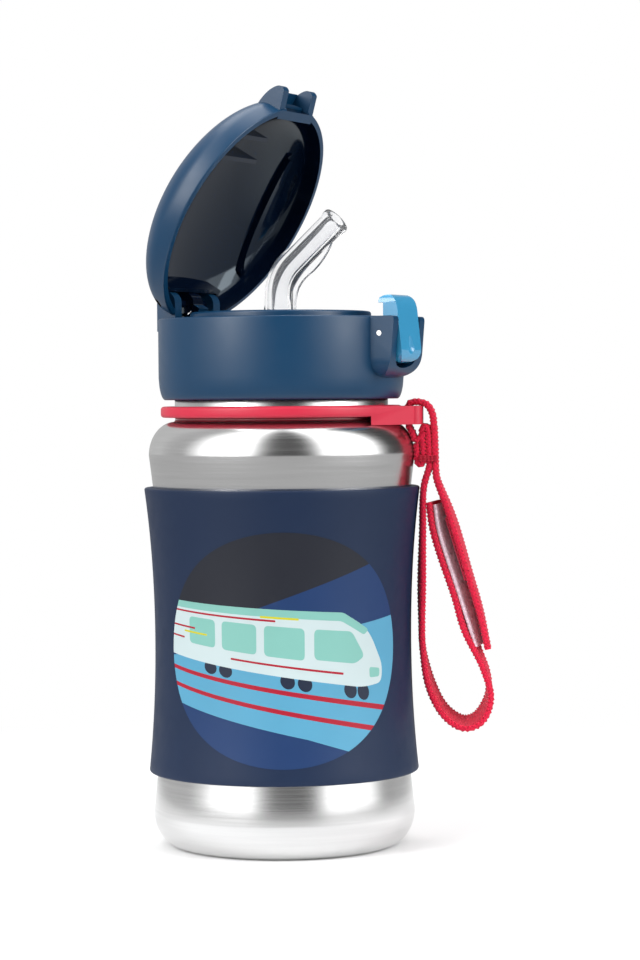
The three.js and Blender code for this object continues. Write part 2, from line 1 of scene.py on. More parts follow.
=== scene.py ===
"""Looks for the straw sippy cup: every visible piece, its materials, the light and the camera.

Lengths are written in millimetres and turned into metres where a mesh is made. The cup stands on
z = 0 with its axis on Z, the latch towards +X and the lid's hinge towards -X.
"""
import json
import math
from contextlib import contextmanager

import bmesh
import bpy
from mathutils import Matrix, Quaternion, Vector
from mathutils.geometry import delaunay_2d_cdt


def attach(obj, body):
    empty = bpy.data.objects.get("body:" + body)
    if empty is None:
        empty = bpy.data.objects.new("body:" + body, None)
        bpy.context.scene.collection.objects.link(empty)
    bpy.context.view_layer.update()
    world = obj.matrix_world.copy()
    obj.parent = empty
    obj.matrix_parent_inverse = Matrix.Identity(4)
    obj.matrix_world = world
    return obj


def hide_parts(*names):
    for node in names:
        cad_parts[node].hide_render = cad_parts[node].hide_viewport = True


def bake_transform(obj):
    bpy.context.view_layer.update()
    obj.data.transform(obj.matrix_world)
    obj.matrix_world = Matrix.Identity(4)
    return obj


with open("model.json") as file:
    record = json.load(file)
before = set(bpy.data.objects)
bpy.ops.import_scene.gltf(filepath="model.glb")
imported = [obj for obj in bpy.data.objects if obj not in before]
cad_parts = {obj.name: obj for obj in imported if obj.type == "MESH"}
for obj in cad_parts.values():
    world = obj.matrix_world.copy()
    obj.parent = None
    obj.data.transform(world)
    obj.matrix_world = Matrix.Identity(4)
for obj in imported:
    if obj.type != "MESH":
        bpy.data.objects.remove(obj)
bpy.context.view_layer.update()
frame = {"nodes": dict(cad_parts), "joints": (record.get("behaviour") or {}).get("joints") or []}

MM = 0.001
SAME_POINT, BOOLEAN_GAP = 1e-7, 2e-6     # points this close are merged, in metres
TURN = 192                          # facets round the big turned pieces
JOINTS = {joint["name"]: joint for joint in frame["joints"]}


def joint_place(name):
    """A hinge's place in millimetres."""
    return Vector(JOINTS[name]["pos_m"]) / MM


def linked(name, data):
    """A new object in the scene."""
    thing = bpy.data.objects.new(name, data)
    bpy.context.scene.collection.objects.link(thing)
    return thing


# ---------------------------------------------------------------- driving dimensions
HINGE = joint_place("lid_hinge")
ELBOW = joint_place("spout_fold")
LATCH_PIN = joint_place("latch_pivot")
LID_OPEN = math.radians(JOINTS["lid_hinge"]["range_deg"][1])
STRAP_AZIMUTH = math.radians(24)
FRONT = -61.6                       # the camera's bearing round Z, in degrees from +X

WAIST, FLARE, WAIST_Z, FLARE_SPAN = 32.4, 2.7, 55, 45
NECK, SHOULDER, SHOULDER_Z, SHOULDER_RISE = 28.6, 35.7, 104.8, 9
FOOT, HEEL, FOOT_RISE, MOUTH_Z, STEEL_WALL = 28.2, 35.1, 9.5, 129.5, 0.8
SLEEVE_LOW, SLEEVE_HIGH, SLEEVE_THICK, LIP_FLARE, TOUCH_GAP = 20, 96.2, 1.75, 0.35, 0.3

CAP_R, CAP_BORE, CAP_LOW, CAP_TOP, DECK, DECK_UNDER = 32.9, 30.9, 119.6, 141.3, 139.3, 137.7
WELL_R, COLLAR_R, COLLAR_TOP, WELL_FLOOR, WELL_UNDER = 22.5, 24.3, 143, 133.9, 132.1
EAR_IN, EAR_OUT, EAR_REACH, EAR_TOP, EAR_LOW = 6.4, 9.35, 38.3, 141.2, 124.9
LUG_IN, LUG_OUT, LUG_R, BOSS_HALF, HINGE_PIN_R = 8.6, 12.2, 3.2, 8.2, 0.9

LID_R, LID_WALL, LID_RIM, LID_SKIRT, LID_CROWN = 33, 1.6, 141.6, 3.6, 16.6
SPOUT_R, SPOUT_BORE, SPOUT_LEAN, SPOUT_TIP = 3.5, 1.9, math.radians(49.4), 22.3
RING_IN, RING_OUT, RING_LOW, RING_HIGH = 29.3, 32.4, 114.9, 117.9
WEB_WIDE, WEB_THICK, PATCH_WIDE, PATCH_THICK = 10, 1.7, 8, 0.6
PICK_LONG, PICK_WIDE, LUMPS = 1.1, 0.9, 0.24     # pitch of the weave, and its relief against the strip
STATION_GAP = 0.45                  # between a strip's cross-sections


# ---------------------------------------------------------------- camera
def camera():
    """Stands where the view is level with the cap and a little round towards the latch."""
    azimuth, distance, height = math.radians(FRONT + 90), 0.75, 0.121
    pan, tilt, roll = math.radians(-0.78), math.radians(-1.77), math.radians(-0.45)
    ahead = Vector((-math.sin(azimuth + pan), math.cos(azimuth + pan), math.tan(tilt)))
    data = bpy.data.cameras.new("camera")
    data.lens = 104.6
    data.sensor_width = 36
    eye = linked("camera", data)
    eye.location = (math.sin(azimuth) * distance, -math.cos(azimuth) * distance, height)
    eye.rotation_mode = "QUATERNION"
    eye.rotation_quaternion = ahead.to_track_quat("-Z", "Y") @ Quaternion((0, 0, 1), roll)
    bpy.context.scene.camera = eye


camera()


# ---------------------------------------------------------------- mesh helpers
def mesh_of(name, points, faces):
    """A mesh from millimetre points."""
    mesh = bpy.data.meshes.new(name)
    mesh.from_pydata([Vector(p) * MM for p in points], [], faces)
    return mesh


def piece(name, points, faces, smooth=35):
    """A mesh object, shaded smooth except across edges sharper than smooth degrees."""
    mesh = mesh_of(name, points, faces)
    with editing(mesh) as sheet:
        bmesh.ops.remove_doubles(sheet, verts=sheet.verts, dist=SAME_POINT)
        bmesh.ops.recalc_face_normals(sheet, faces=sheet.faces)
    shade_smooth(mesh, smooth)
    return linked(name, mesh)


@contextmanager
def editing(mesh):
    """A bmesh of the mesh, written back at the end."""
    sheet = bmesh.new()
    sheet.from_mesh(mesh)
    yield sheet
    sheet.to_mesh(mesh)
    sheet.free()


def shade_smooth(mesh, smooth=35):
    mesh.shade_smooth()
    mesh.set_sharp_from_angle(angle=math.radians(smooth))


def tube_faces(rings, sides, first=0, closed=False, capped=True):
    """Faces over rings of points that follow each other, starting at point number first."""
    faces = []
    for i in range(rings if closed else rings - 1):
        low, high = first + i * sides, first + (i + 1) % rings * sides
        for k in range(sides):
            n = (k + 1) % sides
            faces.append((low + k, low + n, high + n, high + k))
    if capped:
        last = first + (rings - 1) * sides
        faces += [tuple(range(first, first + sides)), tuple(range(last, last + sides))]
    return faces


def turned(name, outline, facets=TURN, centre=(0, 0), smooth=35):
    """A solid of revolution round Z from a closed outline of (radius, z) points."""
    points, rows = [], []
    for radius, z in outline:
        if radius < 1e-6:
            rows.append([len(points)] * facets)
            points.append((centre[0], centre[1], z))
            continue
        rows.append(list(range(len(points), len(points) + facets)))
        for i in range(facets):
            angle = 2 * math.pi * i / facets
            points.append((centre[0] + radius * math.cos(angle), centre[1] + radius * math.sin(angle), z))
    faces = []
    for here, there in zip(rows, rows[1:] + rows[:1]):
        for i in range(facets):
            j = (i + 1) % facets
            corners = list(dict.fromkeys((here[i], here[j], there[j], there[i])))
            if len(corners) > 2:
                faces.append(corners)
    return piece(name, points, faces, smooth)


def extruded(name, start, end):
    """A solid between two copies of one outline."""
    count = len(start)
    sides = [(i, (i + 1) % count, (i + 1) % count + count, i + count) for i in range(count)]
    return piece(name, start + end, [list(range(count)), list(range(count, 2 * count)), *sides])


def prism(name, outline, y0, y1):
    """An outline of (x, z) points, extruded along Y."""
    return extruded(name, [(x, y0, z) for x, z in outline], [(x, y1, z) for x, z in outline])


def slab(name, outline, z0, z1):
    """An outline of (x, y) points, extruded along Z."""
    return extruded(name, [(x, y, z0) for x, y in outline], [(x, y, z1) for x, y in outline])


def bar(name, outline, x0, x1):
    """An outline of (y, z) points, extruded along X."""
    return extruded(name, [(x0, y, z) for y, z in outline], [(x1, y, z) for y, z in outline])


def front_outline(half, bottom, corner, top, shoulder):
    """(y, z) outline with round corners at the bottom, and round shoulders if asked for."""
    left, right = (-half, bottom + corner), (half, bottom + corner)
    belly_left, belly_right = (-half / 2, bottom + 0.4), (half / 2, bottom + 0.4)
    side = [left, *bend(left, (-half, bottom + 1), belly_left),
            *bend(belly_left, (0, bottom - 0.4), belly_right),
            *bend(belly_right, (half, bottom + 1), right)]
    if not shoulder:
        return side + [(half, top), (-half, top)]
    low = top - shoulder
    flat = half - shoulder
    return side + [(half, low), *bend((half, low), (half, top), (flat, top)),
                   (-flat, top), *bend((-flat, top), (-half, top), (-half, low))]


def block(name, x0, x1, y0, y1, z0, z1):
    return prism(name, [(x0, z0), (x1, z0), (x1, z1), (x0, z1)], y0, y1)


def cross_rod(name, x, z, radius, y0, y1, facets=48):
    return prism(name, arc(x, z, radius, radius, 0, 2 * math.pi, facets)[:-1], y0, y1)


def arc(x, z, wide, high, start, end, count):
    """Points on an ellipse round (x, z)."""
    angles = [start + (end - start) * i / count for i in range(count + 1)]
    return [(x + wide * math.cos(a), z + high * math.sin(a)) for a in angles]


def bend(start, control, end, count=8):
    """Points on a quadratic curve, without its first."""
    made = []
    for i in range(1, count + 1):
        t = i / count
        made.append(tuple((1 - t) ** 2 * a + 2 * t * (1 - t) * c + t * t * b
                          for a, c, b in zip(start, control, end)))
    return made


def between(low, high, count):
    return [low + (high - low) * i / count for i in range(count + 1)]


def combine(base, operation, *tools):
    """Cuts or joins solids with exact booleans and removes the tools."""
    for tool in tools:
        step = base.modifiers.new("combine", "BOOLEAN")
        step.operation = operation
        step.solver = "EXACT"
        step.object = tool
        apply_modifiers(base)
        bpy.data.objects.remove(tool)
    return base


def apply_modifiers(thing):
    bpy.context.view_layer.update()
    mesh = bpy.data.meshes.new_from_object(thing.evaluated_get(bpy.context.evaluated_depsgraph_get()))
    thing.modifiers.clear()
    thing.data = mesh


def soften(thing, width, segments, limit):
    """Rounds the edges that booleans leave, and shades the result."""
    with editing(thing.data) as sheet:
        bmesh.ops.remove_doubles(sheet, verts=sheet.verts, dist=BOOLEAN_GAP)
        bmesh.ops.dissolve_degenerate(sheet, edges=sheet.edges, dist=BOOLEAN_GAP)
        bmesh.ops.dissolve_limit(sheet, angle_limit=math.radians(0.5), verts=sheet.verts,
                                 edges=sheet.edges)
    rounding = thing.modifiers.new("edges", "BEVEL")
    rounding.width = width * MM
    rounding.segments = segments
    rounding.limit_method = "ANGLE"
    rounding.angle_limit = math.radians(limit)
    rounding.miter_outer = "MITER_ARC"
    rounding.harden_normals = True
    shade_smooth(thing.data)


def turn_about_y(thing, place, angle):
    """Turns a mesh about the Y line through a place in millimetres."""
    at = Matrix.Translation(place * MM)
    thing.data.transform(at @ Matrix.Rotation(angle, 4, "Y") @ at.inverted())


def place_piece(thing, body, material, node=None):
    """Gives a piece its material and its body, and hides the CAD node that it stands for."""
    thing.data.materials.clear()
    thing.data.materials.append(material)
    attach(thing, body)
    if node:
        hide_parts(node)
    return thing


# ---------------------------------------------------------------- materials
def linear(red, green, blue):
    """An sRGB colour from 0 to 255 as linear RGBA."""
    def channel(value):
        value /= 255
        return value / 12.92 if value <= 0.04045 else ((value + 0.055) / 1.055) ** 2.4
    return (channel(red), channel(green), channel(blue), 1)


class Nodes:
    """Short calls for making and joining the nodes of one tree."""

    def __init__(self, tree):
        self.tree = tree

    def node(self, kind, **values):
        made = self.tree.nodes.new(kind)
        for key, value in values.items():
            if key in made.inputs.keys():
                made.inputs[key].default_value = value
            else:
                setattr(made, key, value)
        return made

    def link(self, source, target):
        self.tree.links.new(source, target)

    def math(self, operation, *values):
        """The result of a Math node over sockets and plain numbers."""
        made = self.node("ShaderNodeMath", operation=operation)
        for socket, value in zip(made.inputs, values):
            if isinstance(value, (int, float)):
                socket.default_value = value
            else:
                self.link(value, socket)
        return made.outputs[0]

    def mix(self, share, first, second):
        """A shader that turns from the first to the second as the share goes from 0 to 1."""
        made = self.node("ShaderNodeMixShader")
        self.link(share, made.inputs[0])
        self.link(first.outputs[0], made.inputs[1])
        self.link(second.outputs[0], made.inputs[2])
        return made.outputs[0]

    def seen(self):
        """1 for what the camera sees, straight or through the clear spout, and 0 for all other light."""
        rays = self.node("ShaderNodeLightPath")
        return self.math("MAXIMUM", rays.outputs["Is Camera Ray"], rays.outputs["Is Transmission Ray"])


class Surface(Nodes):
    """A Principled material, and the textures that give it grain."""

    def __init__(self, name, colour, roughness, metallic=0.0, **numbers):
        self.material = bpy.data.materials.new(name)
        self.material.use_nodes = True
        super().__init__(self.material.node_tree)
        self.shader = self.tree.nodes["Principled BSDF"]
        self.set("Base Color", colour)
        self.set("Roughness", roughness)
        self.set("Metallic", metallic)
        for socket, value in numbers.items():
            self.set(socket.replace("_", " "), value)

    def set(self, socket, value):
        self.shader.inputs[socket].default_value = value

    def place(self, scale=(1, 1, 1)):
        """Object coordinates, stretched."""
        coordinates = self.node("ShaderNodeTexCoord")
        mapping = self.node("ShaderNodeMapping", Scale=scale)
        self.link(coordinates.outputs["Object"], mapping.inputs["Vector"])
        return mapping.outputs["Vector"]

    def noise(self, scale, stretch=(1, 1, 1), detail=3.0, roughness=0.55):
        made = self.node("ShaderNodeTexNoise", Scale=scale, Detail=detail, Roughness=roughness)
        self.link(self.place(stretch), made.inputs["Vector"])
        return made.outputs["Fac"]

    def spread(self, value, low, high, source_low=0.25, source_high=0.75):
        """Maps the middle of a noise, or a range given, to low..high."""
        made = self.node("ShaderNodeMapRange")
        made.inputs["From Min"].default_value = source_low
        made.inputs["From Max"].default_value = source_high
        made.inputs["To Min"].default_value = low
        made.inputs["To Max"].default_value = high
        self.link(value, made.inputs["Value"])
        return made.outputs["Result"]

    def tint(self, value, dark, light):
        """The base colour varies between two shades."""
        made = self.node("ShaderNodeMix", data_type="RGBA")
        made.inputs[6].default_value = dark
        made.inputs[7].default_value = light
        self.link(value, made.inputs[0])
        self.link(made.outputs[2], self.shader.inputs["Base Color"])

    def bump(self, value, depth, strength=1.0):
        made = self.node("ShaderNodeBump", Strength=strength, Distance=depth * MM)
        self.link(value, made.inputs["Height"])
        self.link(made.outputs["Normal"], self.shader.inputs["Normal"])


def shade(colour, factor):
    return (colour[0] * factor, colour[1] * factor, colour[2] * factor, 1)


def brushed_steel():
    """Satin steel brushed round the bottle: fine level lines that vary gloss, tone and slope."""
    s = Surface("brushed_steel", (0.7, 0.7, 0.7, 1), 0.2, 1.0, Anisotropic=0.35)
    lines = s.noise(1, (14, 14, 3600), 4, 0.65)
    long_lines = s.noise(1, (25, 25, 900), 3, 0.6)
    s.link(s.spread(lines, 0.15, 0.27), s.shader.inputs["Roughness"])
    s.tint(long_lines, (0.68, 0.68, 0.68, 1), (0.82, 0.82, 0.82, 1))
    s.bump(lines, 0.0015, 0.4)
    tangent = s.node("ShaderNodeTangent", direction_type="RADIAL", axis="Z")
    s.link(tangent.outputs["Tangent"], s.shader.inputs["Tangent"])
    return s.material


def ground_steel():
    s = Surface("ground_steel", (0.78, 0.78, 0.79, 1), 0.25, 1.0)
    s.link(s.spread(s.noise(2200), 0.18, 0.34), s.shader.inputs["Roughness"])
    return s.material


def moulded(name, colour, roughness, grain, scale, **numbers):
    """Moulded plastic or rubber: a fine spark grain, with slight drifts in tone and gloss."""
    s = Surface(name, colour, roughness, **numbers)
    s.tint(s.noise(55, detail=2), shade(colour, 0.93), shade(colour, 1.07))
    s.link(s.spread(s.noise(190), roughness * 0.9, roughness * 1.12), s.shader.inputs["Roughness"])
    s.bump(s.noise(scale, detail=2), grain)
    return s.material


def clear_silicone():
    s = Surface("clear_silicone", (0.985, 0.99, 1, 1), 0.05, IOR=1.28, Transmission_Weight=0.93)
    s.link(s.spread(s.noise(150), 0.04, 0.12), s.shader.inputs["Roughness"])
    s.bump(s.noise(260, detail=1), 0.004)
    return s.material


def webbing_cloth(colour):
    """Woven webbing: picks across the width and along the length, read from the strip's own marks."""
    s = Surface("webbing_cloth", colour, 0.85, Sheen_Weight=0.12, Sheen_Roughness=0.5)
    waves = []
    for mark, pitch in (("along", PICK_LONG), ("across", PICK_WIDE)):
        value = s.node("ShaderNodeAttribute", attribute_name=mark).outputs["Fac"]
        waves.append(s.math("SINE", s.math("MULTIPLY", value, 2 * math.pi / pitch)))
    height = s.math("MULTIPLY_ADD", s.math("MULTIPLY", *waves), 0.5, s.noise(2400, detail=4))
    # The colour follows the weave's height: painted shade in the hollows between picks and a painted
    # highlight on their crowns.
    s.tint(s.spread(height, 0, 1, -0.2, 1.1), shade(colour, 0.55), shade(colour, 1.4))
    s.bump(height, 0.3)
    return s.material


def pile_tape(name, colour, scale):
    """Hook or loop tape: a dense pile of tiny pimples."""
    s = Surface(name, colour, 0.8, Sheen_Weight=0.3)
    cells = s.node("ShaderNodeTexVoronoi", Scale=scale)
    s.link(s.place(), cells.inputs["Vector"])
    # Painted light and shade: each pimple is lighter in its middle and darker towards the gaps between
    # pimples.
    s.tint(cells.outputs["Distance"], shade(colour, 1.15), shade(colour, 0.7))
    s.bump(cells.outputs["Distance"], 0.25)
    return s.material


NAVY_CAP = linear(8, 58, 92)
STEEL = brushed_steel()
PIN_STEEL = ground_steel()
SLEEVE_NAVY = moulded("sleeve_silicone", linear(18, 37, 66), 0.5, 0.01, 3000, Specular_IOR_Level=0.3)
CAP_NAVY = moulded("cap_plastic", NAVY_CAP, 0.36, 0.012, 2600)
# The lid's inside: a real gloss, and a near-black colour, darker than the same plastic outside, that is
# painted shade inside the dome.
LID_INSIDE_GLOSS_AND_SHADE = moulded("lid_inside_gloss_and_painted_shade", linear(6, 18, 38), 0.09, 0.002, 1200,
                     Specular_Tint=(0.75, 0.9, 1, 1))
LATCH_BLUE = moulded("latch_plastic", linear(62, 156, 202), 0.16, 0.003, 1500, Coat_Weight=0.8)
RING_RED = moulded("ring_silicone", linear(210, 40, 68), 0.42, 0.01, 2600)
GASKET_WHITE = moulded("gasket_silicone", linear(236, 236, 232), 0.55, 0.01, 2600)
CLEAR = clear_silicone()
STRAW_CLEAR = moulded("straw_plastic", linear(225, 232, 236), 0.12, 0.003, 900, Transmission_Weight=0.85)
WEBBING = webbing_cloth(linear(226, 6, 60))
THREAD = moulded("stitch_thread", linear(186, 8, 46), 0.7, 0.05, 3000)
HOOK_TAPE = pile_tape("hook_tape", linear(240, 214, 226), 1500)
LOOP_TAPE = pile_tape("loop_tape", linear(196, 24, 60), 2200)


# ---------------------------------------------------------------- wrist strap
# Routes are (distance out from the axis, z) in the upright plane at the ring's azimuth, as in the
# CAD. A twist turns the strip about its own line: positive shows the side to the left of its travel.
LOOP_ROUTE = [(38.6, 110.6), (36.2, 108.4), (35.2, 110.4), (34.2, 112.8), (34.2, 117.4), (35, 118.5),
              (37.2, 118.6), (39.3, 117.7), (40.6, 115.2), (41, 111.4)]
WEBBING_ROUTE = [(39.6, 101), (38, 95), (37.7, 84), (37.4, 72), (37.3, 60), (37.6, 52), (39.5, 43),
                 (43, 36), (48, 32.4), (52.6, 33.8), (55.3, 39.6), (54.3, 46.5), (50, 57), (47.2, 67.4),
                 (42.2, 83), (40.7, 92)]
TAIL_ROUTE = [(41.3, 101), (41.8, 97.5), (44.7, 90), (47, 83), (50, 72.6), (53, 62.1), (55, 52.5)]
HOOK_ROUTE = [(51.6, 53), (47.2, 67.4), (42.2, 83), (40.8, 91.2)]
LOOP_PATCH_ROUTE = [(45.4, 88), (48, 79.5), (50.4, 71.4)]
OUT = Vector((math.cos(STRAP_AZIMUTH), math.sin(STRAP_AZIMUTH), 0))
ASIDE = Vector((-math.sin(STRAP_AZIMUTH), math.cos(STRAP_AZIMUTH), 0))


def smooth_route(route):
    """Evenly spaced (point, tangent, length so far) on a Catmull-Rom curve through the route."""
    route = [Vector(spot) for spot in route]
    ends = [2 * route[0] - route[1], *route, 2 * route[-1] - route[-2]]
    fine = []
    for a, b, c, d in zip(ends, ends[1:], ends[2:], ends[3:]):
        for i in range(24):
            t = i / 24
            fine.append(0.5 * (2 * b + (c - a) * t + (2 * a - 5 * b + 4 * c - d) * t * t
                               + (3 * b - a - 3 * c + d) * t ** 3))
    fine.append(route[-1])
    lengths = [0]
    for a, b in zip(fine, fine[1:]):
        lengths.append(lengths[-1] + (b - a).length)
    count = max(4, round(lengths[-1] / STATION_GAP))
    made, at = [], 0
    for i in range(count + 1):
        goal = lengths[-1] * i / count
        while at < len(fine) - 2 and lengths[at + 1] < goal:
            at += 1
        share = (goal - lengths[at]) / max(lengths[at + 1] - lengths[at], 1e-9)
        made.append((fine[at].lerp(fine[at + 1], share), (fine[at + 1] - fine[at]).normalized(), goal))
    return made


def in_space(flat):
    return OUT * flat[0] + Vector((0, 0, flat[1]))


def strip(route, wide, thick, twists, offset=0.0, lumps=0.0):
    """A flat strip's points, faces, marks and centre line. The twists, in degrees, are evenly spaced."""
    stations = smooth_route(route)
    total = stations[-1][2]
    section = strip_section(wide, thick)
    points, marks, centre = [], [], []
    for flat, tangent, along in stations:
        share = along / total * (len(twists) - 1)
        k = min(int(share), len(twists) - 2)
        ease = share - k
        ease = ease * ease * (3 - 2 * ease)
        twist = math.radians(twists[k] * (1 - ease) + twists[k + 1] * ease)
        left = in_space((-tangent[1], tangent[0]))
        thick_way = left * math.cos(twist) - ASIDE * math.sin(twist)
        wide_way = ASIDE * math.cos(twist) + left * math.sin(twist)
        middle = in_space(flat)
        centre.append(middle)
        for across, up in section:
            edge = abs(across) / (wide / 2)
            pick = math.sin(2 * math.pi * (along / PICK_LONG + (0.5 if up > 0 else 0)))
            swell = 1 + lumps * pick * (0.35 + edge ** 4)
            points.append(middle + wide_way * across * (1 + lumps * 0.12 * pick)
                          + thick_way * (up * swell + offset))
            marks.append((along, across))
    return points, tube_faces(len(stations), len(section)), marks, centre


def web(route, twists):
    return strip(route, WEB_WIDE, WEB_THICK, twists, lumps=LUMPS)


def strip_section(wide, thick):
    """A flat oval with round edges, as (across, up) points."""
    half, radius = wide / 2, thick / 2
    right = [(half - radius + radius * math.cos(a), radius * math.sin(a))
             for a in between(-math.pi / 2, math.pi / 2, 6)]
    top = [(x, radius) for x in between(half - radius, radius - half, 8)[1:-1]]
    left = [(-x, -z) for x, z in right]
    return [*right, *top, *left, *[(-x, -z) for x, z in top]]


def strip_piece(name, strips, material, body, node):
    """One mesh from several strips, with the marks that the weave reads."""
    points, faces, marks = [], [], []
    for made in strips:
        start = len(points)
        points += made[0]
        faces += [tuple(start + i for i in face) for face in made[1]]
        marks += made[2]
    mesh = mesh_of(name, points, faces)
    for label, column in (("along", 0), ("across", 1)):
        layer = mesh.attributes.new(label, "FLOAT", "POINT")
        layer.data.foreach_set("value", [m[column] for m in marks])
    with editing(mesh) as sheet:
        bmesh.ops.recalc_face_normals(sheet, faces=sheet.faces)
    shade_smooth(mesh, 60)
    return place_piece(linked(name, mesh), body, material, node)


def wrist_strap():
    long_strip = web(WEBBING_ROUTE, [0, -3, -6, -2, 8, 14, -4, -17, -19, -18])
    webbing = strip_piece("webbing", [long_strip], WEBBING, "strap", "strap_webbing")
    tail = web(TAIL_ROUTE, [0, 5, 3, 0])
    tail_piece = strip_piece("webbing_tail", [tail], WEBBING, "strap", "strap_tail")
    through = web(LOOP_ROUTE, [0, 0, 0])
    loop = strip_piece("webbing_loop", [through], WEBBING, "ring", "strap_loop")
    outer_strand = [(41, 112.2), (41.2, 107), (41.3, 100.8)]
    folded_strand = [(39.7, 100.6), (39.7, 104), (39.6, 108), (39.3, 111.4), (38.5, 112.2),
                     (37.8, 110.8), (38.1, 106.5), (38.1, 103.2), (37.3, 101.9), (36.5, 102.9),
                     (36.4, 105.2), (36.3, 107.6)]
    folds = [web(route, [0, 0]) for route in (outer_strand, folded_strand)]
    keeper = strip_piece("webbing_keeper", folds, WEBBING, "strap", "strap_keeper")
    patch_offset = -(WEB_THICK / 2 + TOUCH_GAP + PATCH_THICK / 2)
    hooks = strip(HOOK_ROUTE, PATCH_WIDE, PATCH_THICK + 0.3, [-18, -20, -20, -18], patch_offset)
    hook_piece = strip_piece("hook_tape", [hooks], HOOK_TAPE, "strap", "hook_patch")
    tape_offset = -(WEB_THICK + PATCH_THICK) / 2 - 0.05
    loops = strip(LOOP_PATCH_ROUTE, PATCH_WIDE, PATCH_THICK, [4, 3], tape_offset)
    loop_tape = strip_piece("loop_tape", [loops], LOOP_TAPE, "strap", "loop_patch")
    stitches = stitching()


def stitching():
    """A bar of thread sewn through the keeper's strands, on the edge that faces the camera."""
    points, faces = [], []
    rings, sides = 6, 8
    for row in range(4):
        for column in range(5):
            start = len(points)
            for i in range(rings + 1):
                share = i / rings
                thick = 0.26 * math.sin(math.pi * (0.08 + 0.84 * share))
                middle = in_space((36.9 + column + 1.1 * share, 102.9 + 0.42 * row + 0.12 * share))
                for k in range(sides):
                    a = 2 * math.pi * k / sides
                    points.append(middle + ASIDE * (thick * math.cos(a) - WEB_WIDE / 2 - 0.3)
                                  + Vector((0, 0, thick * math.sin(a))))
            faces += tube_faces(rings + 1, sides, start)
    thing = piece("keeper_stitches", points, faces, 60)
    return place_piece(thing, "strap", THREAD, "strap_stitching")


wrist_strap()


# ---------------------------------------------------------------- bottle and sleeve
def body_radius(z):
    return WAIST + FLARE * ((z - WAIST_Z) / FLARE_SPAN) ** 2


def bottle_outline(inset):
    heel = arc(FOOT, FOOT_RISE, HEEL - FOOT - inset, FOOT_RISE - inset, -math.pi / 2, 0, 18)
    side = [(body_radius(z) - inset, z) for z in between(15, 99, 28)]
    shoulder = arc(NECK, SHOULDER_Z, SHOULDER - NECK - inset, SHOULDER_RISE - inset, 0, math.pi / 2, 22)
    return heel + side + shoulder[:-1]


def bottle():
    rise = SHOULDER_Z + SHOULDER_RISE
    inner = NECK - STEEL_WALL
    foot = [(0, 0.35), (24.5, 0.35), (25.2, 0.25), (25.8, 0.02), (26.6, 0)]
    neck = [(NECK + 0.5, rise - 0.1), (NECK + 0.15, rise + 0.15), (NECK, rise + 0.6)]
    outside = foot + bottle_outline(0) + neck
    lip = arc(NECK - STEEL_WALL / 2, MOUTH_Z - 0.4, STEEL_WALL / 2 + 0.1, 0.4, 0, math.pi, 8)
    inside = [(0, STEEL_WALL + 0.3)] + bottle_outline(STEEL_WALL) + [(inner, rise)]
    thing = turned("steel_bottle", outside + lip + inside[::-1], smooth=50)
    place_piece(thing, "bottle", STEEL, "bottle_shell")
    neck_thread("neck_thread", NECK - 0.3, NECK + 1.3, 122, 0, 1.3, "bottle", STEEL)


def neck_thread(name, root, crest, start_z, first_turn, last_turn, body, material):
    """A rounded ridge wound round the neck or inside the cap."""
    pitch, half, steps_per_turn, fade_steps, sides = 4, 1.0, 120, 14, 9
    count = round((last_turn - first_turn) * steps_per_turn)
    points = []
    for i in range(count + 1):
        turn = first_turn + (last_turn - first_turn) * i / count
        lead = min(1, min(i, count - i) / fade_steps + 0.05)
        for k in range(sides):
            share = -1 + 2 * k / (sides - 1)
            radius = root + (crest - root) * lead * math.cos(share * math.pi / 2) ** 0.7
            angle = 2 * math.pi * turn
            z = start_z + pitch * turn + half * share
            points.append((radius * math.cos(angle), radius * math.sin(angle), z))
    place_piece(piece(name, points, tube_faces(count + 1, sides)), body, material)


def sleeve_outer(z):
    end = abs(z - WAIST_Z) / (SLEEVE_HIGH - WAIST_Z)
    return body_radius(z) + TOUCH_GAP + SLEEVE_THICK + LIP_FLARE * end ** 3


def sleeve():
    lip = 0.55
    outer = [(sleeve_outer(z), z) for z in between(SLEEVE_LOW + lip, SLEEVE_HIGH - lip, 40)]
    top_r, low_r = outer[-1][0] - lip, outer[0][0] - lip
    top = arc(top_r, SLEEVE_HIGH - lip, lip, lip, 0, math.pi / 2, 5)[1:]
    low = arc(low_r, SLEEVE_LOW + lip, lip, lip, -math.pi / 2, 0, 5)[:-1]
    inner = [(body_radius(z) + 0.12, z) for z in between(SLEEVE_HIGH, SLEEVE_LOW, 30)]
    thing = turned("silicone_sleeve", low + outer + top + inner, smooth=50)
    place_piece(thing, "bottle", SLEEVE_NAVY, "sleeve")


# ---------------------------------------------------------------- the print on the sleeve
PRINT_Z, PRINT_WIDE, PRINT_HIGH = 55, 34, 30.5


def oval(x, y, wide, high, count):
    return arc(x, y, wide, high, 0, 2 * math.pi, count)[:-1]


def rounded(corners, radius, count=5):
    """A polygon with rounded corners."""
    made = []
    size = len(corners)
    for i, corner in enumerate(corners):
        here = Vector(corner)
        before, after = Vector(corners[i - 1]), Vector(corners[(i + 1) % size])
        reach = min(radius, (before - here).length / 2.1, (after - here).length / 2.1)
        start = here + (before - here).normalized() * reach
        end = here + (after - here).normalized() * reach
        made.append(tuple(start))
        made += bend(tuple(start), tuple(here), tuple(end), count)
    return made


def tilted(outline):
    """Leans a drawing down to the right and lets it grow that way, as a train coming nearer."""
    slope, growth = 0.12, 0.0065
    return [(x, y * (1 + growth * (x + PRINT_WIDE)) - slope * x) for x, y in outline]


def band(x0, x1, low, high):
    return [(x0, low), (x1, low), (x1, high), (x0, high)]


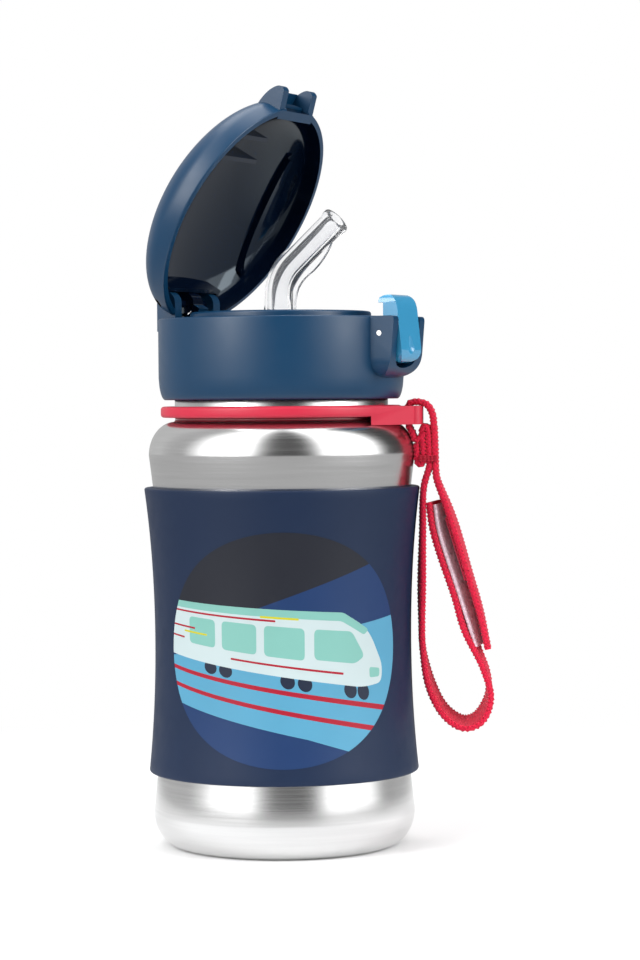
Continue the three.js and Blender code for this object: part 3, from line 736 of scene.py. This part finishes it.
def train_drawing():
    """Painter's list of (colour name, outline), back to front, in millimetres from the print's centre."""
    past = 40                       # the outlines run past the disc, which trims them
    drawing = [
        ("disc", oval(0, 0, PRINT_WIDE, PRINT_HIGH, 96)),
        ("blue", [(-past, -1), (30, 24), (44, 30), (44, -8), (10, -44), (-12, -40), (-past, -16)]),
        ("sky", [(-past, -3), (past, 9), (past, -34), (6, -23), (-past, -12)]),
    ]
    for low in (-9.4, -13.6):
        drawing.append(("rail", tilted(band(-past, past, low, low + 1))))
    for x in (-20, -15.5, 1, 5.5, 18, 22):
        drawing.append(("wheel", tilted(oval(x, -6.4, 1.9, 1.6, 20))))
    body = [(-past, -5.6), (22, -5.6), (28.5, -4.2), (29, -1), (24, 5.5), (16, 8.6), (-past, 8.6)]
    roof = [(-past, 6.9), (15.5, 6.9), (22.5, 4.4), (24, 5.5), (16, 8.6), (-past, 8.6)]
    windscreen = [(8, -1.2), (19.5, -1.2), (22.6, 0.4), (18.6, 5), (8, 5)]
    lamp = [(24.2, -3.6), (27.7, -3.2), (27.9, -1.6), (24.2, -1.6)]
    spans = ((-27, -18.5), (-16.5, -7), (-5, 5.5))
    windows = [("mint", band(x0, x1, -1.6, 5), 1.2) for x0, x1 in spans]
    for colour, outline, corner in (("white", body, 3.2), ("mint", roof, 0.8), *windows,
                                    ("mint", windscreen, 1.2), ("mint", lamp, 0.6)):
        drawing.append((colour, tilted(rounded(outline, corner))))
    stripes = [(-3.6, -14, 16, "rail"), (5.9, -past, -2, "rail"), (2, -past, -25, "rail"),
               (-0.8, -past, -29, "rail"), (6.6, -6, 4, "yellow"), (0.9, -29, -21, "yellow")]
    for low, x0, x1, colour in stripes:
        drawing.append((colour, tilted(rounded(band(x0, x1, low, low + 0.45), 0.2, 2))))
    return drawing


PRINT_COLOURS = {
    "disc": (30, 33, 43), "blue": (24, 54, 100), "sky": (86, 156, 188), "rail": (166, 22, 46),
    "wheel": (30, 40, 60), "white": (194, 210, 212), "mint": (128, 186, 176), "yellow": (200, 196, 40),
}


def inside(point, outline):
    """Whether a point is in a polygon."""
    x, y = point
    hit = False
    for (ax, ay), (bx, by) in zip(outline, outline[1:] + outline[:1]):
        if (ay > y) != (by > y) and x < (bx - ax) * (y - ay) / (by - ay) + ax:
            hit = not hit
    return hit


def finely(outline):
    """The outline with its long edges divided, so that each can follow the sleeve's curve."""
    longest = 1.5
    made = []
    for a, b in zip(outline, outline[1:] + outline[:1]):
        a, b = Vector(a), Vector(b)
        count = max(1, math.ceil((b - a).length / longest))
        made += [a.lerp(b, i / count) for i in range(count)]
    return made


def sleeve_print():
    """The drawing cut into one triangle mesh, each triangle coloured by the topmost outline over it."""
    drawing = train_drawing()
    points, edges = [], []
    for _, outline in drawing:
        start = len(points)
        line = finely(outline)
        points += line
        edges += [(start + i, start + (i + 1) % len(line)) for i in range(len(line))]
    for x in between(-33, 33, 30):
        points += [Vector((x, y)) for y in between(-30, 30, 24)]
    flat, _, triangles, *_ = delaunay_2d_cdt(points, edges, [], 0, 1e-5)
    disc = drawing[0][1]
    names = list(PRINT_COLOURS)
    kept, colours = [], []
    for triangle in triangles:
        middle = sum((flat[i] for i in triangle), Vector((0, 0))) / len(triangle)
        if not inside(middle, disc):
            continue
        top = [name for name, outline in drawing if inside(middle, outline)][-1]
        kept.append(tuple(triangle))
        colours.append(names.index(top))
    ink = 0.06
    rounded_points = []
    for across, up in flat:
        z = PRINT_Z + up
        radius = sleeve_outer(z) + ink
        angle = math.radians(FRONT) + across / sleeve_outer(PRINT_Z)
        rounded_points.append((radius * math.cos(angle), radius * math.sin(angle), z))
    mesh = mesh_of("sleeve_print", rounded_points, kept)
    for name in names:
        mesh.materials.append(moulded("ink_" + name, linear(*PRINT_COLOURS[name]), 0.5, 0.008, 3000,
                                      Specular_IOR_Level=0.3))
    mesh.polygons.foreach_set("material_index", colours)
    with editing(mesh) as sheet:
        bmesh.ops.delete(sheet, geom=[v for v in sheet.verts if not v.link_faces], context="VERTS")
        bmesh.ops.recalc_face_normals(sheet, faces=sheet.faces)
        first = sheet.faces[:][0]
        if first.normal.dot(first.calc_center_median() * Vector((1, 1, 0))) < 0:
            bmesh.ops.reverse_faces(sheet, faces=sheet.faces)
    thing = linked("sleeve_print", mesh)
    skin = thing.modifiers.new("ink", "SOLIDIFY")
    skin.thickness = 0.12 * MM
    skin.offset = -1
    apply_modifiers(thing)
    shade_smooth(thing.data)
    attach(thing, "bottle")


bottle()
sleeve()
sleeve_print()


# ---------------------------------------------------------------- strap ring
def strap_ring():
    band_outline = [(RING_IN, RING_LOW + 0.5), (RING_IN + 0.5, RING_LOW), (RING_OUT - 0.9, RING_LOW),
                    *arc(RING_OUT - 0.9, RING_LOW + 0.9, 0.9, 0.9, -math.pi / 2, 0, 5)[1:],
                    *arc(RING_OUT - 0.9, RING_HIGH - 0.9, 0.9, 0.9, 0, math.pi / 2, 5),
                    (RING_IN + 0.5, RING_HIGH), (RING_IN, RING_HIGH - 0.5)]
    ring = turned("strap_ring_band", band_outline)
    reach, half, low, high, corner = 38, 8.2, 112.7, 117.6, 2.2
    radius = RING_OUT - 0.2
    flank = math.radians(39)
    root = (radius * math.cos(flank), radius * math.sin(flank))
    tab_outline = [(root[0], -root[1]), (reach - corner, -half),
                   *bend((reach - corner, -half), (reach, -half + 0.3), (reach, -half + corner + 0.6)),
                   (reach, half - corner - 0.6),
                   *bend((reach, half - corner - 0.6), (reach, half - 0.3),
                         (reach - corner, half)), root]
    tab = slab("tab", tab_outline, low, high)
    below = turned("below", [(0, low - 1), (RING_OUT - 0.4, low - 1), (RING_OUT - 0.4, RING_LOW),
                             (0, RING_LOW)])
    neck = turned("neck", [(0, 110), (RING_IN + 0.2, 110), (RING_IN + 0.2, 120), (0, 120)])
    combine(tab, "DIFFERENCE", below, neck)
    combine(ring, "UNION", tab)
    combine(ring, "DIFFERENCE", block("slot", 32.9, 35.6, -5.6, 5.6, low - 1, high + 1))
    ring.data.transform(Matrix.Rotation(STRAP_AZIMUTH, 4, "Z"))
    soften(ring, 0.45, 3, 45)
    ring.name = "soft_strap_ring"
    place_piece(ring, "ring", RING_RED, "strap_ring")


# ---------------------------------------------------------------- cap
def cap_outline():
    edge = 0.5
    return [
        (3.7, 123), (5.2, 123), (5.2, WELL_UNDER), (COLLAR_R, WELL_UNDER), (COLLAR_R, DECK_UNDER),
        (26.5, DECK_UNDER), (26.5, 132.3), (29, 132.3), (29, DECK_UNDER), (CAP_BORE, DECK_UNDER),
        (CAP_BORE, CAP_LOW + 0.4), (CAP_BORE + 0.4, CAP_LOW), (31.2, CAP_LOW),
        *bend((31.2, CAP_LOW), (32.2, CAP_LOW + 0.2), (CAP_R - 0.2, CAP_LOW + 3.6), 10),
        (CAP_R, CAP_LOW + 6), *[(CAP_R, z) for z in between(CAP_LOW + 8, CAP_TOP - 2, 4)],
        *arc(CAP_R - edge, CAP_TOP - edge, edge, edge, 0, math.pi / 2, 5),
        (31.5, CAP_TOP), (31.2, CAP_TOP - 0.3), (31.2, DECK), (COLLAR_R, DECK),
        *arc(COLLAR_R - 0.7, COLLAR_TOP - 0.7, 0.7, 0.7, 0, math.pi / 2, 5),
        *arc(WELL_R + 0.4, COLLAR_TOP - 0.4, 0.4, 0.4, math.pi / 2, math.pi, 4),
        (WELL_R, WELL_FLOOR), (3.7, WELL_FLOOR),
    ]


def cap():
    shell = turned("screw_cap", cap_outline())
    brow, chin = (EAR_REACH - 0.8, EAR_TOP), (EAR_REACH - 0.7, EAR_LOW + 7)
    ears = prism("ears", [(29, EAR_TOP), brow,
                          *bend(brow, (EAR_REACH, EAR_TOP), (EAR_REACH, EAR_TOP - 1.2), 4), chin,
                          *bend(chin, (EAR_REACH - 1.2, EAR_LOW + 1.2), (32.2, EAR_LOW), 14),
                          (29, EAR_LOW)], -EAR_OUT, EAR_OUT)
    combine(ears, "INTERSECT", bar("front", front_outline(EAR_OUT, EAR_LOW, 5.6, EAR_TOP + 1, 0), 20, 50))
    core = turned("core", [(0, 120), (CAP_R - 0.6, 120), (CAP_R - 0.6, 150), (0, 150)])
    combine(ears, "DIFFERENCE", core)
    combine(shell, "UNION", ears)
    pocket = prism("pocket", [(32.4, 150), (32.4, 128.2),
                              *bend((32.4, 128.2), (32.6, 127.2), (34, 127.2), 4),
                              (41, 127.2), (41, 150)], -EAR_IN, EAR_IN)
    combine(pocket, "INTERSECT", bar("front", front_outline(EAR_IN, 127.6, 4.4, 151, 0), 20, 50))
    pin_hole = cross_rod("pin_hole", LATCH_PIN.x, LATCH_PIN.z, 0.8, -20, 20, 32)
    notch = block("notch", -40, -26, -13.2, 13.2, DECK, CAP_TOP + 4)
    vent = turned("vent", [(0, 130), (1.2, 130), (1.2, 136), (0, 136)], 24, (0, -13))
    combine(shell, "DIFFERENCE", pocket, pin_hole, notch, vent)
    for side in (-1, 1):
        low, high = sorted((side * LUG_IN, side * LUG_OUT))
        lug = prism("lug", [(HINGE.x - LUG_R, DECK_UNDER + 0.4), (HINGE.x + LUG_R, DECK_UNDER + 0.4),
                            *arc(HINGE.x, HINGE.z, LUG_R, LUG_R, 0, math.pi, 24)], low, high)
        reach = turned("reach", [(0, 130), (CAP_R + 0.7, 130), (CAP_R + 0.7, 155), (0, 155)])
        combine(lug, "INTERSECT", reach)
        combine(shell, "UNION", lug)
    hinge_hole = cross_rod("hinge_hole", HINGE.x, HINGE.z, HINGE_PIN_R + 0.15, -20, 20, 32)
    combine(shell, "DIFFERENCE", hinge_hole)
    soften(shell, 0.35, 3, 38)
    place_piece(shell, "cap", CAP_NAVY, "cap_shell")
    neck_thread("cap_thread", CAP_BORE + 0.3, CAP_BORE - 1.2, 120, 0.4, 1.5, "cap", CAP_NAVY)


# ---------------------------------------------------------------- lid
def dome(inset):
    crown, radius = LID_CROWN - inset, LID_R - inset
    rise = [(radius * math.cos(t), LID_RIM + LID_SKIRT + (crown - LID_SKIRT) * math.sin(t))
            for t in between(0, math.pi / 2, 40)]
    rise[-1] = (0, rise[-1][1])
    return rise


def dome_solid(name, inset):
    if inset:
        return turned(name, [(0, LID_RIM - 1), (LID_R - inset, LID_RIM - 1), *dome(inset)])
    edge = 0.45
    rim = arc(LID_R - edge, LID_RIM + edge, edge, edge, -math.pi / 2, 0, 4)
    return turned(name, [(0, LID_RIM), *rim, *dome(0)])


def lid():
    shell = dome_solid("flip_lid", 0)
    combine(shell, "DIFFERENCE", dome_solid("hollow", LID_WALL))
    half = LUG_OUT + 1.6
    bow = 67.7
    rib = turned("rib", [(bow - 0.5, 146), (bow + 0.6, 146), (bow + 0.6, 159), (bow - 0.5, 159)], 360,
                 (-2.2, 25.3 - bow))
    combine(rib, "INTERSECT", block("rib_span", -19, 15.5, 20, 30, 145, 160))
    combine(rib, "DIFFERENCE", dome_solid("rib_foot", LID_WALL + 2))
    inner = [
        rib,
        block("hinge_block", -33, HINGE.x + 4.8, -half, half, HINGE.z - 0.2, 159),
        block("catch", 29.4, 31.9, -EAR_OUT, EAR_OUT, LID_RIM, 152),
    ]
    for x in (15, 21.5):
        inner.append(block("fin", x, x + 1.2, -33, -4.6, 143.8, 158))
    for part in inner:
        combine(part, "INTERSECT", dome_solid("dome", 0.02))
        combine(shell, "UNION", part)
    clear = LUG_OUT + 0.4
    room = cross_rod("room", HINGE.x, HINGE.z, LUG_R + 0.5, -clear, clear)
    below = block("below", -40, HINGE.x + LUG_R + 0.5, -clear, clear, LID_RIM - 1, HINGE.z)
    combine(shell, "DIFFERENCE", room, below)
    boss = cross_rod("boss", HINGE.x, HINGE.z, 2.6, -BOSS_HALF, BOSS_HALF)
    root = prism("web", [(HINGE.x - 2.6, HINGE.z), (HINGE.x + 2.6, HINGE.z), (HINGE.x + 4, HINGE.z + 6),
                         (HINGE.x - 0.4, HINGE.z + 6)], -BOSS_HALF, BOSS_HALF)
    combine(shell, "UNION", boss, root)
    combine(shell, "DIFFERENCE",
            cross_rod("coil_room", HINGE.x, HINGE.z, 3.4, -2.6, 2.6),
            block("leg_room", HINGE.x - 6, HINGE.x + 1.5, -2.6, 2.6, LID_RIM - 1, HINGE.z + 3.4),
            cross_rod("bore", HINGE.x, HINGE.z, HINGE_PIN_R + 0.15, -20, 20, 32),
            block("catch_room", 31, 40, -EAR_IN, EAR_IN, 144.2, 152),
            block("catch_front", 31.9, 40, -EAR_IN, EAR_IN, LID_RIM - 1, 144.2))
    rim = LID_RIM
    horn_outline = [(30.6, rim + 0.2), (36.8, rim + 1.9),
                    *bend((36.8, rim + 1.9), (38.2, rim + 3.4), (36.2, rim + 5), 10),
                    *bend((36.2, rim + 5), (34, rim + 6.8), (29.6, rim + 7.3), 10)]
    roof_outline = [(30.2, rim + 6), (34.7, rim + 6), (34.9, rim + 6.2), (33, rim + 6.9), (30.2, rim + 7.2)]
    roof = prism("roof", roof_outline, -EAR_IN - 0.5, EAR_IN + 0.5)
    combine(shell, "UNION", prism("horn", horn_outline, -EAR_OUT, -EAR_IN - 0.1),
            prism("horn", horn_outline, EAR_IN + 0.1, EAR_OUT), roof)
    turn_about_y(shell, HINGE, -LID_OPEN)
    soften(shell, 0.3, 2, 38)
    place_piece(shell, "lid", CAP_NAVY, "lid_shell")
    shell.data.materials.append(LID_INSIDE_GLOSS_AND_SHADE)
    mark_inside(shell)


def mark_inside(shell):
    """Gives the faces inside the dome the polished finish and a darker colour, which is painted shade."""
    at = Matrix.Translation(HINGE * MM)
    closed = at @ Matrix.Rotation(LID_OPEN, 4, "Y") @ at.inverted()
    for face in shell.data.polygons:
        spot = (closed @ face.center) / MM
        out = math.hypot(spot.x, spot.y) / (LID_R - LID_WALL / 2)
        up = max(0, spot.z - LID_RIM - LID_SKIRT) / (LID_CROWN - LID_SKIRT - LID_WALL / 2)
        if out * out + up * up < 1 and spot.z > LID_RIM + 0.3:
            face.material_index = 1


# ---------------------------------------------------------------- latch
def latch():
    half, bottom, top = 6, 128.9, 147.2
    side = [(32.2, 144.7), (32.4, 146), *bend((32.4, 146), (33.8, 147), (35.4, 146.8)),
            *bend((35.4, 146.8), (37.6, 146), (37.9, 142)), (38.9, 132.4),
            *bend((38.9, 132.4), (38.9, 129.4), (36.4, 128.9)), (35.8, 129.6), (35.4, 132), (33.4, 135),
            (32.9, 137.2), (33.6, 139), (33.6, 144.7)]
    lever = prism("latch_lever", side, -half, half)
    combine(lever, "INTERSECT", bar("front", front_outline(half, bottom, 4.2, top, 2.6), 20, 50))
    combine(lever, "DIFFERENCE",
            cross_rod("bore", LATCH_PIN.x, LATCH_PIN.z, 0.8, -10, 10, 32),
            block("spring_room", 30, 36.1, -2.4, 2.4, 134.4, 139),
            grip_dimple())
    soften(lever, 0.45, 4, 40)
    flat = lever.modifiers.new("flat_faces", "WEIGHTED_NORMAL")
    flat.weight = 100
    flat.keep_sharp = True
    place_piece(lever, "latch", LATCH_BLUE, "latch")


def grip_dimple():
    """A drop-shaped hollow for a fingertip."""
    centre_x, centre_z, depth = 39.4, 133.2, 1.3
    points = []
    rings, sides = 8, 24
    for i in range(rings + 1):
        v = math.pi * i / rings
        for k in range(sides):
            a = 2 * math.pi * k / sides
            wide, tall = (1.365, 4) if math.sin(a) > 0 else (2.1, 2.2)
            points.append((centre_x + depth * math.cos(v), wide * math.sin(v) * math.cos(a),
                           centre_z + tall * math.sin(v) * math.sin(a)))
    return piece("dimple", points, tube_faces(rings + 1, sides, capped=False))


# ---------------------------------------------------------------- spout and straw
def spout():
    """One bent tube of clear silicone, hollow, with thin webs in the plane of its bend."""
    tip_way = Vector((math.sin(SPOUT_LEAN), 0, math.cos(SPOUT_LEAN)))
    elbow_reach = 5.2
    line = [(Vector((0, 0, z)), 0) for z in between(WELL_FLOOR + 2, ELBOW.z - elbow_reach, 8)]
    start, end = Vector((0, 0, ELBOW.z - elbow_reach)), ELBOW + tip_way * elbow_reach
    for t in between(0, 1, 14)[1:]:
        spot = (1 - t) ** 2 * start + 2 * t * (1 - t) * ELBOW + t * t * end
        slope = 2 * (1 - t) * (ELBOW - start) + 2 * t * (end - ELBOW)
        line.append((spot, math.atan2(slope.x, slope.z)))
    line += [(ELBOW + tip_way * reach, SPOUT_LEAN) for reach in between(elbow_reach, SPOUT_TIP, 16)[1:]]
    outer, inner = [], []
    for spot, lean in line:
        base = max(0, 1 - (spot.z - WELL_FLOOR - 2) / 9) if lean == 0 else 0
        near_tip = (ELBOW + tip_way * SPOUT_TIP - spot).length
        lip = 0.35 if near_tip < 1.9 else 0
        outer.append((spot, lean, SPOUT_R + 1.5 * base ** 1.6 + lip))
        inner.append((spot, lean, SPOUT_BORE))
    spot, lean, radius = outer[-1]
    rounding = [(spot + tip_way * 0.25, lean, radius - 0.15), (spot + tip_way * 0.4, lean, radius - 0.6),
                (spot + tip_way * 0.35, lean, SPOUT_BORE + 0.4), (spot + tip_way * 0.1, lean, SPOUT_BORE)]
    flange = ((127, 3.3), (WELL_FLOOR + 0.3, 3.3), (WELL_FLOOR + 0.3, 8.2), (135.3, 8.2), (135.8, 7.7),
              (135.8, 5.6))
    foot = [(Vector((0, 0, z)), 0, r) for z, r in flange]
    rows = foot + outer + rounding + inner[::-1][1:] + [(Vector((0, 0, 127)), 0, SPOUT_BORE)]
    sides = 48
    points = []
    for middle, lean, radius in rows:
        across = Vector((math.cos(lean), 0, -math.sin(lean)))
        for k in range(sides):
            a = 2 * math.pi * k / sides
            points.append(middle + (across * math.cos(a) + Vector((0, 1, 0)) * math.sin(a)) * radius)
    tube = piece("spout", points, tube_faces(len(rows), sides, closed=True, capped=False), 50)
    outer_web = [(-5.4, 135.8), (-3, 135.8), (-3, 149), *bend((-3, 149), (-2.6, 154), (1.6, 157.6)),
                 (6.4, 161.8), *bend((6.4, 161.8), (-3.6, 157.6), (-4.4, 149), 14)]
    inner_web = [(3.1, 136), (4.3, 136), (4.6, 146), *bend((4.6, 146), (5, 150.6), (9.6, 153.4)),
                 *bend((9.6, 153.4), (13.4, 156.4), (15.6, 161), 10),
                 *bend((15.6, 161), (4, 152.6), (3.1, 147))]
    for outline in (outer_web, inner_web):
        combine(tube, "UNION", prism("web", outline, -0.6, 0.6))
    shade_smooth(tube.data)
    tube.data.materials.clear()
    tube.data.materials.append(CLEAR)
    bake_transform(tube)
    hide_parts("spout_base", "spout_tip")


strap_ring()
cap()
lid()
latch()
spout()


def carried_over():
    """CAD pieces whose shape is already right take a finished material and smooth shading."""
    finishes = {
        "cap_gasket": GASKET_WHITE, "vent_valve": GASKET_WHITE, "hinge_pin": PIN_STEEL,
        "lid_spring": PIN_STEEL, "latch_pin": PIN_STEEL, "latch_spring": PIN_STEEL,
        "straw_tube": STRAW_CLEAR,
    }
    for name, material in finishes.items():
        node = frame["nodes"][name]
        node.data.materials.clear()
        node.data.materials.append(material)
        shade_smooth(node.data)


carried_over()


# ---------------------------------------------------------------- studio
def floor():
    """A floor that fades to glowing white paper away from the cup, less bright where not seen."""
    size, near, far = 30, 0.05, 0.28
    mesh = bpy.data.meshes.new("floor")
    corners = [(-size, -size, 0), (size, -size, 0), (size, size, 0), (-size, size, 0)]
    mesh.from_pydata(corners, [], [(0, 1, 2, 3)])
    thing = linked("floor", mesh)
    s = Surface("floor_paper", (0.93, 0.93, 0.93, 1), 0.9)
    s.set("Specular IOR Level", 0.0)
    glow = s.node("ShaderNodeEmission", Color=(1, 1, 1, 1))
    unseen_glow = 0.48
    s.link(s.spread(s.seen(), unseen_glow, 1, 0, 1), glow.inputs["Strength"])
    distance = s.node("ShaderNodeVectorMath", operation="LENGTH")
    s.link(s.place(), distance.inputs[0])
    fade = s.node("ShaderNodeMapRange", interpolation_type="SMOOTHSTEP")
    fade.inputs["From Min"].default_value = near
    fade.inputs["From Max"].default_value = far
    s.link(distance.outputs["Value"], fade.inputs["Value"])
    output = s.tree.nodes["Material Output"]
    s.link(s.mix(fade.outputs["Result"], s.shader, glow), output.inputs["Surface"])
    mesh.materials.append(s.material)


def studio_world():
    """White paper where it is seen, and bright and dark cards round the cup for the steel to pick up."""
    world = bpy.data.worlds.new("studio")
    bpy.context.scene.world = world
    world.use_nodes = True
    world.node_tree.nodes.clear()
    w = Nodes(world.node_tree)
    split = w.node("ShaderNodeSeparateXYZ")
    w.link(w.node("ShaderNodeTexCoord").outputs["Generated"], split.inputs[0])
    turn = w.math("ARCTAN2", split.outputs["Y"], split.outputs["X"])
    ramp = w.node("ShaderNodeValToRGB")
    w.link(w.math("MULTIPLY_ADD", turn, 1 / (2 * math.pi), 0.5), ramp.inputs[0])
    fill_ramp(ramp.color_ramp)
    card_strength = 2.05
    cards = w.node("ShaderNodeBackground", Strength=card_strength)
    w.link(ramp.outputs[0], cards.inputs["Color"])
    paper = w.node("ShaderNodeBackground", Color=(1, 1, 1, 1), Strength=1.0)
    w.link(w.mix(w.seen(), cards, paper), w.node("ShaderNodeOutputWorld").inputs["Surface"])


def fill_ramp(ramp):
    """Brightness against the bearing from the front of the cup, in degrees to the right."""
    cards = [(-180, 0.25), (-130, 0.3), (-94, 0.2), (-80, 0.5), (-66, 1.0), (-32, 1.05), (-20, 0.25),
             (-10, 0.04), (20, 0.02), (29, 0.2), (40, 1.0), (60, 1.1), (86, 1.0), (97, 0.2), (106, 0),
             (150, 0.04)]
    stops = sorted((((FRONT + bearing + 180) % 360) / 360, level) for bearing, level in cards)
    while len(ramp.elements) > 1:
        ramp.elements.remove(ramp.elements[0])
    wrap = (stops[0][1] + stops[-1][1]) / 2
    ramp.elements[0].position = 0
    ramp.elements[0].color = (wrap, wrap, wrap, 1)
    for position, level in [*stops, (1, wrap)]:
        made = ramp.elements.new(position)
        made.color = (level, level, level, 1)


def soft_box(name, bearing, distance, height, size, power):
    """An area light that looks at the cup from a bearing, in degrees to the right of the front."""
    data = bpy.data.lights.new(name, "AREA")
    data.shape = "RECTANGLE"
    data.size, data.size_y = size
    data.energy = power
    thing = linked(name, data)
    angle = math.radians(FRONT + bearing)
    thing.location = (distance * math.cos(angle), distance * math.sin(angle), height)
    aim = Vector((0, 0, 0.09)) - thing.location
    thing.rotation_mode = "QUATERNION"
    thing.rotation_quaternion = aim.to_track_quat("-Z", "Y")


floor()
studio_world()
soft_box("left_box", -48, 1.2, 0.7, (0.45, 0.9), 7)
soft_box("right_box", 62, 1.2, 0.6, (0.45, 0.9), 5)
soft_box("top_box", 180, 0.4, 1.2, (0.9, 0.9), 7)
bpy.context.scene.view_settings.view_transform = "Standard"
